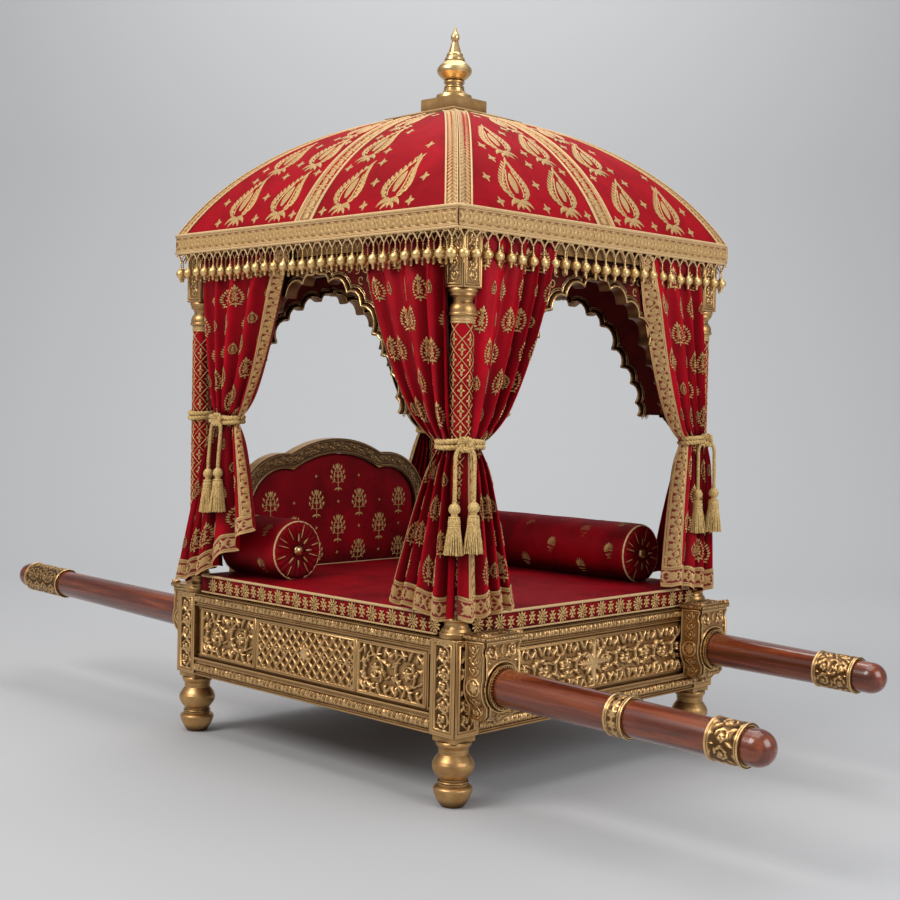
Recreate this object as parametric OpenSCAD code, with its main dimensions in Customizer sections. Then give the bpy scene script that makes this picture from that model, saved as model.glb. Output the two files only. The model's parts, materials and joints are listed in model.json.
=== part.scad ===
// Four-post wedding palanquin: a carved box base on turned legs, posts with cusped
// arches, gathered curtains, a square domed canopy and two carrying poles.
// Millimetres. +X is the front, +Z is up, the origin is on the floor midway between the legs.

/* [Base] */
// Distance between the post axes, front to rear
post_span_x = 954; // [800:2:1300]
// Distance between the post axes, side to side
post_span_y = 874; // [780:2:1100]
// Height of the turned legs
leg_h = 144; // [110:1:200]
// Side of the square corner blocks
block_w = 76; // [62:1:92]
// Height of the corner blocks
block_h = 212; // [180:1:280]
// Height of the square foot under each corner block
block_foot_h = 13; // [8:1:20]
// Height of the bottom rails
sill_h = 46; // [34:1:56]
// Height of the top rails
rail_h = 31; // [26:1:36]
// Thickness of the bottom and top rails
rail_t = 42; // [34:1:50]
// Thickness of the carved panels
panel_t = 16; // [10:1:22]
// Depth of the panels behind the rail faces
panel_inset = 10; // [6:1:14]
// Thickness of the deck boards
deck_t = 16; // [12:1:20]
// Number of deck boards
deck_boards = 8; // [6:1:10]
// Thickness of the bearers under the deck
bearer_t = 14; // [10:1:16]

/* [Posts and arches] */
// Height of the posts between corner block and capital block
post_h = 757; // [630:1:920]
// Radius of the post shafts
shaft_r = 24.5; // [20:0.5:30]
// Side of the capital blocks
capital_w = 56; // [50:1:70]
// Height of the capital blocks
capital_h = 140; // [110:1:180]
// Height of the head beams
beam_h = 44; // [30:1:60]
// Thickness of the head beams
beam_t = 36; // [26:1:46]
// Thickness of the arch boards
arch_t = 16; // [10:1:22]

/* [Canopy] */
// Overhang of the canopy rim beyond the post axes, front and rear
rim_over_x = 39; // [36:1:80]
// Overhang of the canopy rim beyond the post axes, at the sides
rim_over_y = 58; // [50:1:90]
// Height of the gold rim band
band_h = 44; // [34:1:60]
// Thickness of the rim band
band_t = 10; // [6:1:10]
// Rise of the dome from the rim band to the crown plate
dome_rise = 304; // [240:1:380]
// Radius of the curved dome sides
dome_r = 602; // [570:1:760]
// Thickness of the dome cover
dome_t = 10; // [6:1:16]
// Half width of the crown plate
crown_half = 126; // [100:1:150]
// Half width of the crown plinth
plinth_half = 60; // [52:1:80]
// Height of the crown plinth
plinth_h = 30; // [20:1:50]

/* [Poles] */
// Distance of the pole axes inside the post axes
pole_inset = 45; // [40:1:60]
// Depth of the pole axes below the deck at the middle of the base
pole_drop = 87; // [84:1:96]
// Slope of the poles, down towards the front, in degrees
pole_tilt = 1.2; // [0:0.1:1.2]
// Radius of the poles where they pass through the base
pole_r = 41; // [34:0.5:44]
// Radius of the poles at their ends
pole_end_r = 36; // [30:0.5:40]
// Front end of the right pole, from the middle of the base
pole_front_right = 1254; // [1000:1:1500]
// Front end of the left pole, from the middle of the base
pole_front_left = 1052; // [1000:1:1500]
// Rear end of both poles, from the middle of the base
pole_rear = 1467; // [1000:1:1600]
// Length of the brass ferrule at the right pole's front end
ferrule_front_right_l = 75; // [50:1:90]
// Length of the brass ferrule at the left pole's front end
ferrule_front_left_l = 103; // [50:1:110]
// Length of the brass ferrules at the rear ends
ferrule_rear_l = 185; // [60:1:190]
// Length of the ring halfway along the right pole's front arm
ring_l = 45; // [20:1:60]
// Radius of the ferrules
ferrule_r = 40; // [36:0.5:46]
// Depth of the pole brackets on the base
bracket_d = 60; // [40:1:80]
// Width of the pole brackets
bracket_w = 110; // [100:1:120]
// Height of the pole brackets, without their caps
bracket_h = 186; // [180:1:196]

/* [Soft furnishing] */
// Thickness of the mattress
mattress_t = 48; // [30:1:80]
// Radius of the bolsters
bolster_r = 78; // [60:1:94]
// Length of the right bolster
bolster_right_l = 230; // [180:1:700]
// Length of the left bolster
bolster_left_l = 680; // [180:1:700]
// Depth of the curtain ties below the lower ends of the arches
tie_drop = 60; // [30:1:100]
// Distance of the curtains' leading edges from the middle, at the top
curtain_open = 165; // [120:1:220]
// Height of the headboard above the deck
headboard_h = 402; // [340:1:460]
// Distance of the headboard's ends inside the post axes
headboard_gap = 91; // [85:1:150]

/* [Hidden] */
$fn = 64;
CORNERS = [["front_right", 1, -1], ["front_left", 1, 1],
           ["rear_right", -1, -1], ["rear_left", -1, 1]];
SIDES = ["right", "left"];
ENDS = ["front", "rear"];
EDGES = ["right", "left", "front", "rear"];

brass = "goldenrod";
dark_brass = "darkgoldenrod";
velvet = "crimson";
gold_cord = "khaki";
rosewood = "saddlebrown";
plain_wood = "burlywood";

post_x = post_span_x / 2;
post_y = post_span_y / 2;
block_z = leg_h + block_foot_h;
deck_z = block_z + block_h;
face_x = post_x + block_w / 2;
face_y = post_y + block_w / 2;
rail_set = 2;              // rails sit this far behind the block faces
gap = 0.3;                 // clearance of soft pieces and turned pieces
post_z = deck_z;
capital_z = post_z + post_h;
head_z = capital_z + capital_h;
beam_z = head_z - beam_h;
rim_x = post_x + rim_over_x;
rim_y = post_y + rim_over_y;
band_z = head_z - 14;
dome_z = band_z + band_h;
crown_z = dome_z + dome_rise;
plinth_z = crown_z + 29;
finial_z = plinth_z + plinth_h;
pole_y = post_y - pole_inset;
pole_z = deck_z - pole_drop;
pole_bore_r = pole_r + gap;
bracket_end = face_x + bracket_d;
headboard_half = post_y - headboard_gap;
mattress_top = deck_z + mattress_t;
bracket_cap = 10;
headboard_x = -(post_x - 26);
headboard_t = 34;
headboard_frame_w = 42;
eps = 0.01;

// ---- Turned work -------------------------------------------------------------
// A turning is a stack of steps from the bottom up: [height, radius below, radius above, swell].
// The radius along a step is the straight line between its two radii plus swell * sin.

TURN_STEPS = 8;

LEG_TURNING = [
    [38, 25, 44, 3], [10, 44, 35, 3], [4, 34, 34, 0], [6, 33, 33, 2.5], [4, 31, 31, 0],
    [54, 32, 33, 14.5], [6, 33, 33, 0], [12, 34, 38, -2], [10, 38, 38, 2]
];
POST_FOOT_TURNING = [
    [7, 37.5, 37.5, 0], [8, 36.5, 33, 1.5], [6, 33, 31, 0], [16, 30, 29, -3],
    [8, 32, 32, 2.5], [7, 31, 27, 0]
];
CAPITAL_TURNING = [
    [8, 30, 30, 2], [22, 30, 22, 3], [14, 22, 29, -2.5], [6, 30, 30, 0], [10, 31, 31, 2]
];
FINIAL_TURNING = [
    [12, 48, 46, 0], [10, 44, 31, -2], [8, 27, 27, 0], [8, 24, 24, 2.5], [6, 22, 23, 0],
    [6, 26, 26, 1.5], [52, 23, 25, 21.5], [6, 27, 26, 0], [6, 24, 22, 0], [8, 21, 19, 1.5],
    [28, 17, 9, 0], [26, 6.5, 6, 5.2], [15, 6, 0.6, 0]
];
URN_TURNING = [
    [5, 16, 16, 0], [6, 13, 8, 0], [42, 8, 6, 10.5], [6, 7.5, 7.5, 1], [20, 6, 1, 1.5]
];
TASSEL_TURNING = [
    [66, 17.5, 14, -1], [10, 13, 12, 2], [14, 12, 7, 0], [20, 6, 6, 4.5]
];

function total(stack, i = 0) = i >= len(stack) ? 0 : stack[i][0] + total(stack, i + 1);
function steps_of(e) = e[3] == 0 ? 1 : TURN_STEPS;
function step_points(e, z) = [
    for (k = [0 : steps_of(e)])
        let (t = k / steps_of(e))
        [e[1] + (e[2] - e[1]) * t + e[3] * sin(180 * t), z + e[0] * t]
];
function turning(stack, i = 0, z = 0) =
    i >= len(stack) ? [] : concat(step_points(stack[i], z), turning(stack, i + 1, z + stack[i][0]));

module turned(stack, squash = 1, girth = 1) {
    outline = turning(stack);
    height = outline[len(outline) - 1][1] * squash;
    rotate_extrude()
        polygon(concat([[0, 0]], [for (p = outline) [p[0] * girth, p[1] * squash]], [[0, height]]));
}

// ---- Placing -----------------------------------------------------------------

// Moves a piece that is drawn at the front right corner to another corner.
module at_corner(sx, sy) {
    mirror([sx < 0 ? 1 : 0, 0, 0]) mirror([0, sy > 0 ? 1 : 0, 0]) children();
}

// Moves a piece drawn with +X as its outward face to an edge of the base.
module on_edge(edge) {
    turn = edge == "front" ? 0 : edge == "left" ? 90 : edge == "rear" ? 180 : 270;
    rotate([0, 0, turn]) children();
}

function is_end(edge) = edge == "front" || edge == "rear";
function edge_face(edge) = is_end(edge) ? face_x : face_y;
function edge_post(edge) = is_end(edge) ? post_x : post_y;
function edge_half(edge) = (is_end(edge) ? post_y : post_x) - block_w / 2;
function edge_rim(edge) = is_end(edge) ? rim_x : rim_y;
function arch_half(edge) = (is_end(edge) ? post_y : post_x) - capital_w / 2;

// A pole's own frame: its X axis runs along the pole.
module pole_frame(sy) {
    translate([0, sy * pole_y, pole_z]) rotate([0, pole_tilt, 0]) children();
}

module along_x(r, from, to) {
    translate([from, 0, 0]) rotate([0, 90, 0]) cylinder(r = r, h = to - from);
}

module both_pole_bores() {
    for (sy = [-1, 1]) pole_frame(sy) along_x(pole_bore_r, -bracket_end - 20, bracket_end + 20);
}

// ---- Base --------------------------------------------------------------------

module leg() {
    color(dark_brass) translate([post_x, -post_y, 0]) turned(LEG_TURNING, leg_h / total(LEG_TURNING));
}

module corner_block() {
    margin = 10;
    depth = 3;
    field_w = block_w - 2 * margin;
    field_h = block_h - 2 * margin;
    color(brass) translate([post_x, -post_y, leg_h]) {
        difference() {
            translate([-block_w / 2, -block_w / 2, block_foot_h]) cube([block_w, block_w, block_h]);
            translate([-field_w / 2, -block_w / 2 - eps, block_foot_h + margin])
                cube([field_w, depth + eps, field_h]);
            translate([block_w / 2 - depth, -field_w / 2, block_foot_h + margin])
                cube([depth + eps, field_w, field_h]);
        }
        foot_w = block_w - 10;
        translate([-foot_w / 2, -foot_w / 2, 0]) cube([foot_w, foot_w, block_foot_h]);
    }
}

module bottom_rail(edge) {
    face = edge_face(edge) - rail_set;
    half = edge_half(edge);
    bead_r = sill_h / 2 - 8;
    color(brass) on_edge(edge) {
        translate([face - rail_t, -half, block_z]) cube([rail_t - 6, 2 * half, sill_h]);
        translate([face - 6 - eps, -half, block_z + 5]) cube([6 + eps, 2 * half, sill_h - 10]);
    }
}

module top_rail(edge) {
    face = edge_face(edge) - rail_set;
    half = edge_half(edge);
    color(brass) on_edge(edge) {
        translate([face - rail_t, -half, deck_z - rail_h]) cube([rail_t - 6, 2 * half, rail_h]);
        translate([face - 6 - eps, -half, deck_z - rail_h + 3]) cube([6 + eps, 2 * half, rail_h - 6]);
    }
}

module carved_panel(edge) {
    face = edge_face(edge) - rail_set - panel_inset;
    half = edge_half(edge);
    low = block_z + sill_h;
    high = deck_z - rail_h;
    bar = 9;
    bars = is_end(edge) ? [-half + 2 * bar, half - 2 * bar] : [-half + 2 * bar, -half * 0.43, half * 0.43, half - 2 * bar];
    color(brass) on_edge(edge) {
        translate([face - panel_t, -half, low]) cube([panel_t, 2 * half, high - low]);
        for (y = bars) translate([face - eps, y - bar / 2, low]) cube([4 + eps, bar, high - low]);
        for (z = [low, high - bar]) translate([face - eps, -half, z]) cube([4 + eps, 2 * half, bar]);
    }
}

module deck() {
    inner_x = face_x - rail_set - rail_t;
    inner_y = face_y - rail_set - rail_t;
    slot = 6;
    pitch = 2 * inner_y / deck_boards;
    color(plain_wood) difference() {
        for (i = [0 : deck_boards - 1])
            translate([-inner_x, -inner_y + i * pitch + (i == 0 ? 0 : slot / 2), deck_z - deck_t])
                cube([2 * inner_x, pitch - (i == 0 || i == deck_boards - 1 ? slot / 2 : slot), deck_t]);
        for (c = CORNERS) translate([c[1] * post_x, c[2] * post_y, deck_z - deck_t])
            translate([-block_w / 2, -block_w / 2, -1]) cube([block_w, block_w, deck_t + 2]);
    }
}

module bearers() {
    inner_y = face_y - rail_set - rail_t;
    color(plain_wood) for (x = [-1, 0, 1] * post_x * 0.62)
        translate([x - 35, -inner_y, deck_z - deck_t - bearer_t]) cube([70, 2 * inner_y, bearer_t]);
}

// ---- Poles -------------------------------------------------------------------

function pole_height_at(x) = pole_z - x * tan(pole_tilt);

module pole_bracket(sx) {
    mid_x = (face_x + bracket_end) / 2;
    z = pole_height_at(sx * mid_x);
    high = deck_z + 3 - z;
    low = bracket_h - high;
    color(brass) difference() {
        union() {
            intersection() {
                translate([face_x, -pole_y, z]) rotate([90, 0, 90]) linear_extrude(bracket_d)
                    bracket_front(low, high);
                translate([face_x, -pole_y + bracket_w / 2 + 12, z]) rotate([90, 0, 0])
                    linear_extrude(bracket_w + 24) bracket_side(low, high);
            }
            translate([face_x, -pole_y - bracket_w / 2 - 5, deck_z + 3 - eps])
                cube([bracket_d + 6, bracket_w + 10, bracket_cap + eps]);
        }
        translate([mid_x, -pole_y, z]) rotate([0, 90 + sx * pole_tilt, 0])
            cylinder(r = pole_bore_r, h = 2 * bracket_d, center = true);
    }
}

// The bracket seen from outside: a shield with a round lobe about the pole.
module bracket_front(low, high) {
    half = bracket_w / 2;
    translate([-half, -8]) square([bracket_w, high + 8]);
    circle(r = half + 4);
    translate([-half + 14, -low + 12]) square([bracket_w - 28, low]);
    translate([0, -low + 22]) circle(r = 22);
}

// The bracket seen from the side: straight at the back, waisted above and below the pole.
module bracket_side(low, high) {
    difference() {
        translate([0, -low]) square([bracket_d, low + high + 1]);
        translate([bracket_d + 14, high - 22]) circle(r = 18);
        translate([bracket_d + 22, -low - 4]) circle(r = 36);
    }
}

module pole_collar(sx, sy) {
    pole_frame(sy)
        translate([sx > 0 ? bracket_end + 4 : -bracket_end - 10, 0, 0]) rotate([0, 90, 0])
            difference() {
                cylinder(r = pole_bore_r + 9, h = 6);
                translate([0, 0, -1]) cylinder(r = pole_bore_r, h = 8);
            }
}

module pole(sy) {
    front = sy < 0 ? pole_front_right : pole_front_left;
    color(rosewood) pole_frame(sy) {
        along_x(pole_r, -bracket_end - 12, bracket_end + 12);
        translate([bracket_end + 12, 0, 0]) rotate([0, 90, 0])
            cylinder(r1 = pole_r, r2 = pole_end_r, h = front - pole_end_r - bracket_end - 12);
        translate([front - pole_end_r, 0, 0]) sphere(r = pole_end_r);
        translate([-bracket_end - 12, 0, 0]) rotate([0, -90, 0])
            cylinder(r1 = pole_r, r2 = pole_end_r, h = pole_rear - pole_end_r - bracket_end - 12);
        translate([-pole_rear + pole_end_r, 0, 0]) sphere(r = pole_end_r);
    }
}

// A brass sleeve around a pole, bored to a little over the pole's own taper.
module ferrule(sy, x, length, front, rise) {
    slope = (pole_r - pole_end_r) / (front - pole_end_r - bracket_end - 12);
    inner = pole_r - slope * (abs(x) - length / 2 - bracket_end - 12) + gap;
    pole_frame(sy) translate([x - length / 2, 0, 0]) rotate([0, 90, 0]) difference() {
        cylinder(r = max(rise > 0 ? inner + rise : ferrule_r, inner + 1.5), h = length);
        translate([0, 0, -1]) cylinder(r = inner, h = length + 2);
    }
}

module ferrules() {
    color(brass) {
        ferrule(-1, pole_front_right - 54 - ferrule_front_right_l / 2,
                ferrule_front_right_l, pole_front_right, 0);
        ferrule(1, pole_front_left - 67 - ferrule_front_left_l / 2,
                ferrule_front_left_l, pole_front_left, 0);
        for (sy = [-1, 1])
            ferrule(sy, -pole_rear + 67 + ferrule_rear_l / 2, ferrule_rear_l, pole_rear, 0);
        ferrule(-1, (bracket_end + pole_front_right) / 2 - 7, ring_l, pole_front_right, 3);
        for (sy = [-1, 1]) for (sx = [-1, 1]) pole_collar(sx, sy);
    }
}

module urns() {
    z = deck_z + 3 + bracket_cap;
    color(dark_brass) for (sy = [-1, 1])
        translate([-face_x - bracket_d / 2, sy * (pole_y + 18), z]) turned(URN_TURNING);
}

// ---- Posts, arches and beams ---------------------------------------------------

module post() {
    foot_h = total(POST_FOOT_TURNING);
    cap_h = total(CAPITAL_TURNING);
    color(velvet) translate([post_x, -post_y, post_z]) {
        turned(POST_FOOT_TURNING, girth = (block_w / 2 - 0.5) / POST_FOOT_TURNING[0][1]);
        translate([0, 0, foot_h - eps]) cylinder(r = shaft_r, h = post_h - foot_h - cap_h + 2 * eps);
        translate([0, 0, post_h - cap_h]) turned(CAPITAL_TURNING);
    }
}

module capital_block() {
    color(brass) translate([post_x - capital_w / 2, -post_y - capital_w / 2, capital_z])
        cube([capital_w, capital_w, capital_h]);
}

module head_beams() {
    color(dark_brass) for (edge = EDGES) on_edge(edge)
        translate([edge_post(edge) - beam_t / 2, -arch_half(edge), beam_z])
            cube([beam_t, 2 * arch_half(edge), beam_h]);
}

// Cusp points of the arch opening, from the crown outwards and down, measured from the crown.
ARCH_CUSPS = [[47, -32], [112, -60], [162, -92], [203, -156], [236, -205], [270, -248], [288, -300], [296, -334]];
arch_crown_z = beam_z - 34;
arch_low_z = arch_crown_z - 332;
tie_z = arch_low_z - tie_drop;

function foil_centre(p, q) =
    let (mid = (p + q) / 2, d = q - p)
    mid + 0.24 * [d[1], -d[0]];
function foil_r(p, q) = norm(q - p) * norm([0.5, 0.24]);

// The opening under an arch: a cusped outline with a pointed crown.
module arch_opening() {
    cusps = ARCH_CUSPS;
    n = len(cusps);
    polygon(concat(
        [for (p = cusps) [p[0] - 3, p[1] - 2]],
        [for (i = [n - 1 : -1 : 0]) [3 - cusps[i][0], cusps[i][1] - 2]]
    ));
    for (s = [0, 1]) mirror([s, 0]) {
        for (i = [0 : n - 2]) translate(foil_centre(cusps[i], cusps[i + 1]))
            circle(r = foil_r(cusps[i], cusps[i + 1]));
        translate([26, -32]) circle(r = 21);
    }
    polygon([[-22, -18], [-9, -13], [0, 0], [9, -13], [22, -18], [30, -40], [-30, -40]]);
}

module arch(edge) {
    half = arch_half(edge);
    side_cut = capital_z - arch_low_z;
    color(dark_brass) on_edge(edge)
        translate([edge_post(edge) - arch_t / 2, 0, 0]) rotate([90, 0, 90]) linear_extrude(arch_t)
            difference() {
                translate([-half, arch_low_z]) square([2 * half, beam_z - arch_low_z]);
                translate([0, arch_crown_z]) arch_opening();
                for (s = [-1, 1]) translate([s * half, arch_low_z + side_cut / 2 - 1])
                    square([2 * 12, side_cut + 2], center = true);
            }
}

// ---- Canopy --------------------------------------------------------------------

// Centre of the circle of radius r through p and q that curves outwards.
function arc_centre(p, q, r) =
    let (mid = (p + q) / 2, d = q - p, half = norm(d) / 2)
    mid + sqrt(r * r - half * half) / norm(d) * [d[1], -d[0]] * -1;

// Cross-section of a dome that reaches from the rim to the crown plate.
module vault_section(rim, inset) {
    c = arc_centre([rim, dome_z], [crown_half, crown_z], dome_r);
    low = dome_z - (inset > 0 ? 1 : 0);
    high = crown_z - inset;
    for (s = [0, 1]) mirror([s, 0]) intersection() {
        translate(c) circle(r = dome_r - inset, $fn = 720);
        translate([-eps, low]) square([rim + eps, high - low]);
    }
}

module vault(inset) {
    long = 2 * (rim_x + rim_y);
    intersection() {
        translate([long / 2, 0, 0]) rotate([90, 0, -90]) linear_extrude(long) vault_section(rim_y - 2, inset);
        translate([0, long / 2, 0]) rotate([90, 0, 0]) linear_extrude(long) vault_section(rim_x - 2, inset);
    }
}

module canopy_cover() {
    color(velvet) difference() {
        vault(0);
        vault(dome_t);
    }
}

// The flat frame that carries the canopy, lying on the capital blocks and head beams.
module canopy_frame() {
    outer_x = rim_x - band_t;
    outer_y = rim_y - band_t;
    inner_x = post_x - capital_w / 2;
    inner_y = post_y - capital_w / 2;
    color(plain_wood) difference() {
        translate([-outer_x, -outer_y, head_z]) cube([2 * outer_x, 2 * outer_y, dome_z - head_z]);
        translate([-inner_x, -inner_y, head_z - 1])
            cube([2 * inner_x, 2 * inner_y, dome_z - head_z + 2]);
    }
}

module canopy_band() {
    color(brass) difference() {
        translate([-rim_x, -rim_y, band_z]) cube([2 * rim_x, 2 * rim_y, band_h]);
        translate([-rim_x + band_t, -rim_y + band_t, band_z - 1])
            cube([2 * (rim_x - band_t), 2 * (rim_y - band_t), band_h + 2]);
    }
}

module crown() {
    edge_h = 8;
    color(brass) {
        translate([-crown_half, -crown_half, crown_z]) cube([2 * crown_half, 2 * crown_half, edge_h]);
        translate([0, 0, crown_z + edge_h - eps])
            linear_extrude(plinth_z - crown_z - edge_h + eps, scale = (plinth_half + 4) / crown_half)
                square(2 * crown_half, center = true);
        translate([-plinth_half, -plinth_half, plinth_z - eps])
            cube([2 * plinth_half, 2 * plinth_half, plinth_h + eps]);
    }
}

module finial() {
    color(dark_brass) translate([0, 0, finial_z]) turned(FINIAL_TURNING);
}

// ---- Soft furnishing -----------------------------------------------------------

mattress_edge = 18;        // how far the mattress stays inside the block faces
post_notch_r = 46;         // the mattress is cut round each post's foot
curtain_off = arch_t / 2 + 4;
bundle_r = 18;             // radius of a curtain where the rope gathers it
bundle_out = 27;           // how far a gathered curtain stands outside its post's axis
bundle_in = 33.5;          // how far along its side a gathered curtain stands from the post
bolster_gap = 14;          // clearance between a bolster and the post axes
neck_h = 10;               // half the height of the straight neck inside the rope
top_clear = 8;             // clearance from the turned post head at the top

module mattress() {
    back = headboard_x + headboard_t / 2 + gap;
    front = face_x - mattress_edge;
    side = face_y - mattress_edge;
    color(velvet) difference() {
        translate([back, -side, deck_z]) cube([front - back, 2 * side, mattress_t]);
        for (c = CORNERS) translate([c[1] * post_x, c[2] * post_y, deck_z - 1])
            cylinder(r = post_notch_r, h = mattress_t + 2);
    }
}

module bolster(sy) {
    from = -post_x + (sy < 0 ? 67 : 177);
    length = sy < 0 ? bolster_right_l : bolster_left_l;
    y = sy * (post_y - bolster_gap - bolster_r);
    color(velvet) translate([0, y, mattress_top + bolster_r]) along_x(bolster_r, from, from + length);
}

// Outline of the headboard with its width reduced by inset: a middle lobe and two side lobes.
module headboard_outline(inset) {
    mid_r = 348;
    side_r = 158;
    side_y = headboard_half - side_r;
    side_z = headboard_h - 198;
    half = headboard_half - inset;
    intersection() {
        union() {
            intersection() {
                translate([0, headboard_h - mid_r]) circle(r = mid_r - inset);
                translate([-side_y, 0]) square([2 * side_y, headboard_h]);
            }
            for (s = [-1, 1]) translate([s * side_y, side_z]) circle(r = side_r - inset);
            translate([-half, 0]) square([2 * half, side_z]);
        }
        translate([-half, inset]) square([2 * half, headboard_h]);
    }
}

module headboard_slab(inset, depth) {
    translate([headboard_x - depth / 2, 0, deck_z]) rotate([90, 0, 90]) linear_extrude(depth)
        headboard_outline(inset);
}

module headboard_frame() {
    color(dark_brass) difference() {
        headboard_slab(0, headboard_t);
        headboard_slab(headboard_frame_w, headboard_t + 2);
    }
}

module headboard_pad() {
    color(velvet) headboard_slab(headboard_frame_w, headboard_t - 12);
}

// One gathered curtain of the right side at the front right post: it hangs outside the
// arch, is drawn in to the post at the tie, and flares again to its hem.
module side_curtain(half, skirt) {
    outer = -post_y - curtain_off;
    depth = 30;
    tie = [post_x - bundle_in, -post_y - bundle_out];
    top_z = beam_z - gap;
    hem_z = mattress_top + skirt;
    hull() {
        translate([curtain_open, outer - depth, top_z - 2])
            cube([half - top_clear - curtain_open, depth, 2]);
        translate([tie[0], tie[1], tie_z + neck_h - 1]) cylinder(r = bundle_r, h = 1, $fn = 32);
    }
    translate([tie[0], tie[1], tie_z - neck_h]) cylinder(r = bundle_r, h = 2 * neck_h, $fn = 32);
    hull() {
        translate([tie[0], tie[1], tie_z - neck_h]) cylinder(r = bundle_r, h = 1, $fn = 32);
        translate([post_x - 165, outer - 34, hem_z]) cube([118, 56, 2]);
    }
}

module end_curtain(half, skirt) {
    outer = post_x + curtain_off;
    depth = 24;
    tie = [post_x + bundle_out, -post_y + bundle_in];
    top_z = beam_z - gap;
    hem_z = mattress_top + skirt;
    hull() {
        translate([outer, -half + top_clear, top_z - 2])
            cube([depth, half - top_clear - curtain_open + 20, 2]);
        translate([tie[0], tie[1], tie_z + neck_h - 1]) cylinder(r = bundle_r, h = 1, $fn = 32);
    }
    translate([tie[0], tie[1], tie_z - neck_h]) cylinder(r = bundle_r, h = 2 * neck_h, $fn = 32);
    hull() {
        translate([tie[0], tie[1], tie_z - neck_h]) cylinder(r = bundle_r, h = 1, $fn = 32);
        translate([outer - 7, -post_y + 47, hem_z]) cube([34, 108, 2]);
    }
}

module curtains() {
    color(velvet) {
        side_curtain(arch_half("right"), 10);
        end_curtain(arch_half("front"), 10);
    }
}

// ---- Ties ------------------------------------------------------------------------

rope_r = 6;
rope_h = 15;
tail_r = 4.5;
tail_drop = 110;
tail_half = 18.5;          // half the distance between the two tails
tail_out = 39;             // distance of the tails outwards from the post's axis
tail_top = tie_z - 8.5 - gap;

// Outline round the post and its two gathered curtains, grown by r.
module bundle_outline(r) {
    hull() {
        translate([post_x, -post_y]) circle(r = shaft_r + r, $fn = 32);
        translate([post_x - bundle_in, -post_y - bundle_out]) circle(r = bundle_r + r, $fn = 32);
        translate([post_x + bundle_out, -post_y + bundle_in]) circle(r = bundle_r + r, $fn = 32);
    }
}

module tieback_rope() {
    translate([0, 0, tie_z - rope_h / 2]) linear_extrude(rope_h) difference() {
        bundle_outline(2 * rope_r + gap);
        bundle_outline(gap);
    }
}

// Stands outwards from the front right post, halfway round its outer corner.
module at_tail(side, z) {
    translate([post_x, -post_y, z]) rotate([0, 0, -45]) translate([tail_out, side * tail_half, 0])
        children();
}

module rope_knot() {
    translate([post_x, -post_y, tie_z]) rotate([0, 0, -45]) translate([tail_out, 0, 0]) rotate([90, 0, 0])
        cylinder(r = 8.5, h = 2 * tail_half + 12, center = true, $fn = 32);
}

module tail(side) {
    at_tail(side, tail_top - tail_drop) cylinder(r = tail_r, h = tail_drop);
}

module tassel(side) {
    at_tail(side, tail_top - tail_drop - gap - total(TASSEL_TURNING)) turned(TASSEL_TURNING);
}

// ---- Nodes -------------------------------------------------------------------------

for (c = CORNERS) {
    at_corner(c[1], c[2]) leg();
    difference() {
        at_corner(c[1], c[2]) corner_block();
        both_pole_bores();
    }
    at_corner(c[1], c[2]) post();
    at_corner(c[1], c[2]) capital_block();
    at_corner(c[1], c[2]) pole_bracket(c[1]);
    at_corner(c[1], c[2]) curtains();
}
for (e = EDGES) {
    bottom_rail(e);
    difference() {
        top_rail(e);
        both_pole_bores();
    }
    difference() {
        carved_panel(e);
        both_pole_bores();
    }
    arch(e);
}
for (i = [0, 1]) {
    pole(2 * i - 1);
    bolster(2 * i - 1);
}
deck();  // deck_boards
bearers();  // deck_bearers
head_beams();
ferrules();  // pole_ferrules
urns();  // bracket_urns
canopy_frame();
canopy_cover();
canopy_band();
crown();  // crown_plinth
finial();
mattress();
headboard_frame();
headboard_pad();
color(gold_cord)  // tieback_ropes
    for (c = CORNERS) at_corner(c[1], c[2]) {
        tieback_rope();
        rope_knot();
    }
color(gold_cord)  // tieback_tails
    for (c = CORNERS) at_corner(c[1], c[2]) for (side = [-1, 1]) tail(side);
color(gold_cord)  // tassels
    for (c = CORNERS) at_corner(c[1], c[2]) for (side = [-1, 1]) tassel(side);
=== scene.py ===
# Wedding palanquin: the visual model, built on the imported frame.
# Lengths are millimetres until a mesh is made.
import json
from math import atan2, cos, hypot, pi, radians, sin, sqrt, tan

import bpy
import numpy as np
from mathutils import Matrix, Vector
from mathutils.bvhtree import BVHTree

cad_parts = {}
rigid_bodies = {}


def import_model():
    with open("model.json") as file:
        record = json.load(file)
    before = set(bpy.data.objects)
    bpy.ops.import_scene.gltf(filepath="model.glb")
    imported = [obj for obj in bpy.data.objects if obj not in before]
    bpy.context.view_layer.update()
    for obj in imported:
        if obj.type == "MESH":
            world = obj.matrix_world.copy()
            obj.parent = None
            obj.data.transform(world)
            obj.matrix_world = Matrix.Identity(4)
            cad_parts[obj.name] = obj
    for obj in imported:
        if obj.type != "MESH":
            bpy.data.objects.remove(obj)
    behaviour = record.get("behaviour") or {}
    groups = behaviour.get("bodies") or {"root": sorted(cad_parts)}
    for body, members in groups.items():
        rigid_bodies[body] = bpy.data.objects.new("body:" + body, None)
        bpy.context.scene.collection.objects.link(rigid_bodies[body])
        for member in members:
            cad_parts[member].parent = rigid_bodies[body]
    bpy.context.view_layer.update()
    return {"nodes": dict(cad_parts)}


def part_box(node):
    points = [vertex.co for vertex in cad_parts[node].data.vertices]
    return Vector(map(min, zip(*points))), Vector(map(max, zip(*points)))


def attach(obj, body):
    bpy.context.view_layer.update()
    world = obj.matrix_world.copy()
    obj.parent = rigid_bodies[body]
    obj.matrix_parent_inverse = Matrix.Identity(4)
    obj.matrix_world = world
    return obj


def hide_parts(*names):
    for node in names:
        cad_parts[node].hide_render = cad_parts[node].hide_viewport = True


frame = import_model()
NODES = frame["nodes"]
MM = 0.001
EPS = 1e-9


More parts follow.
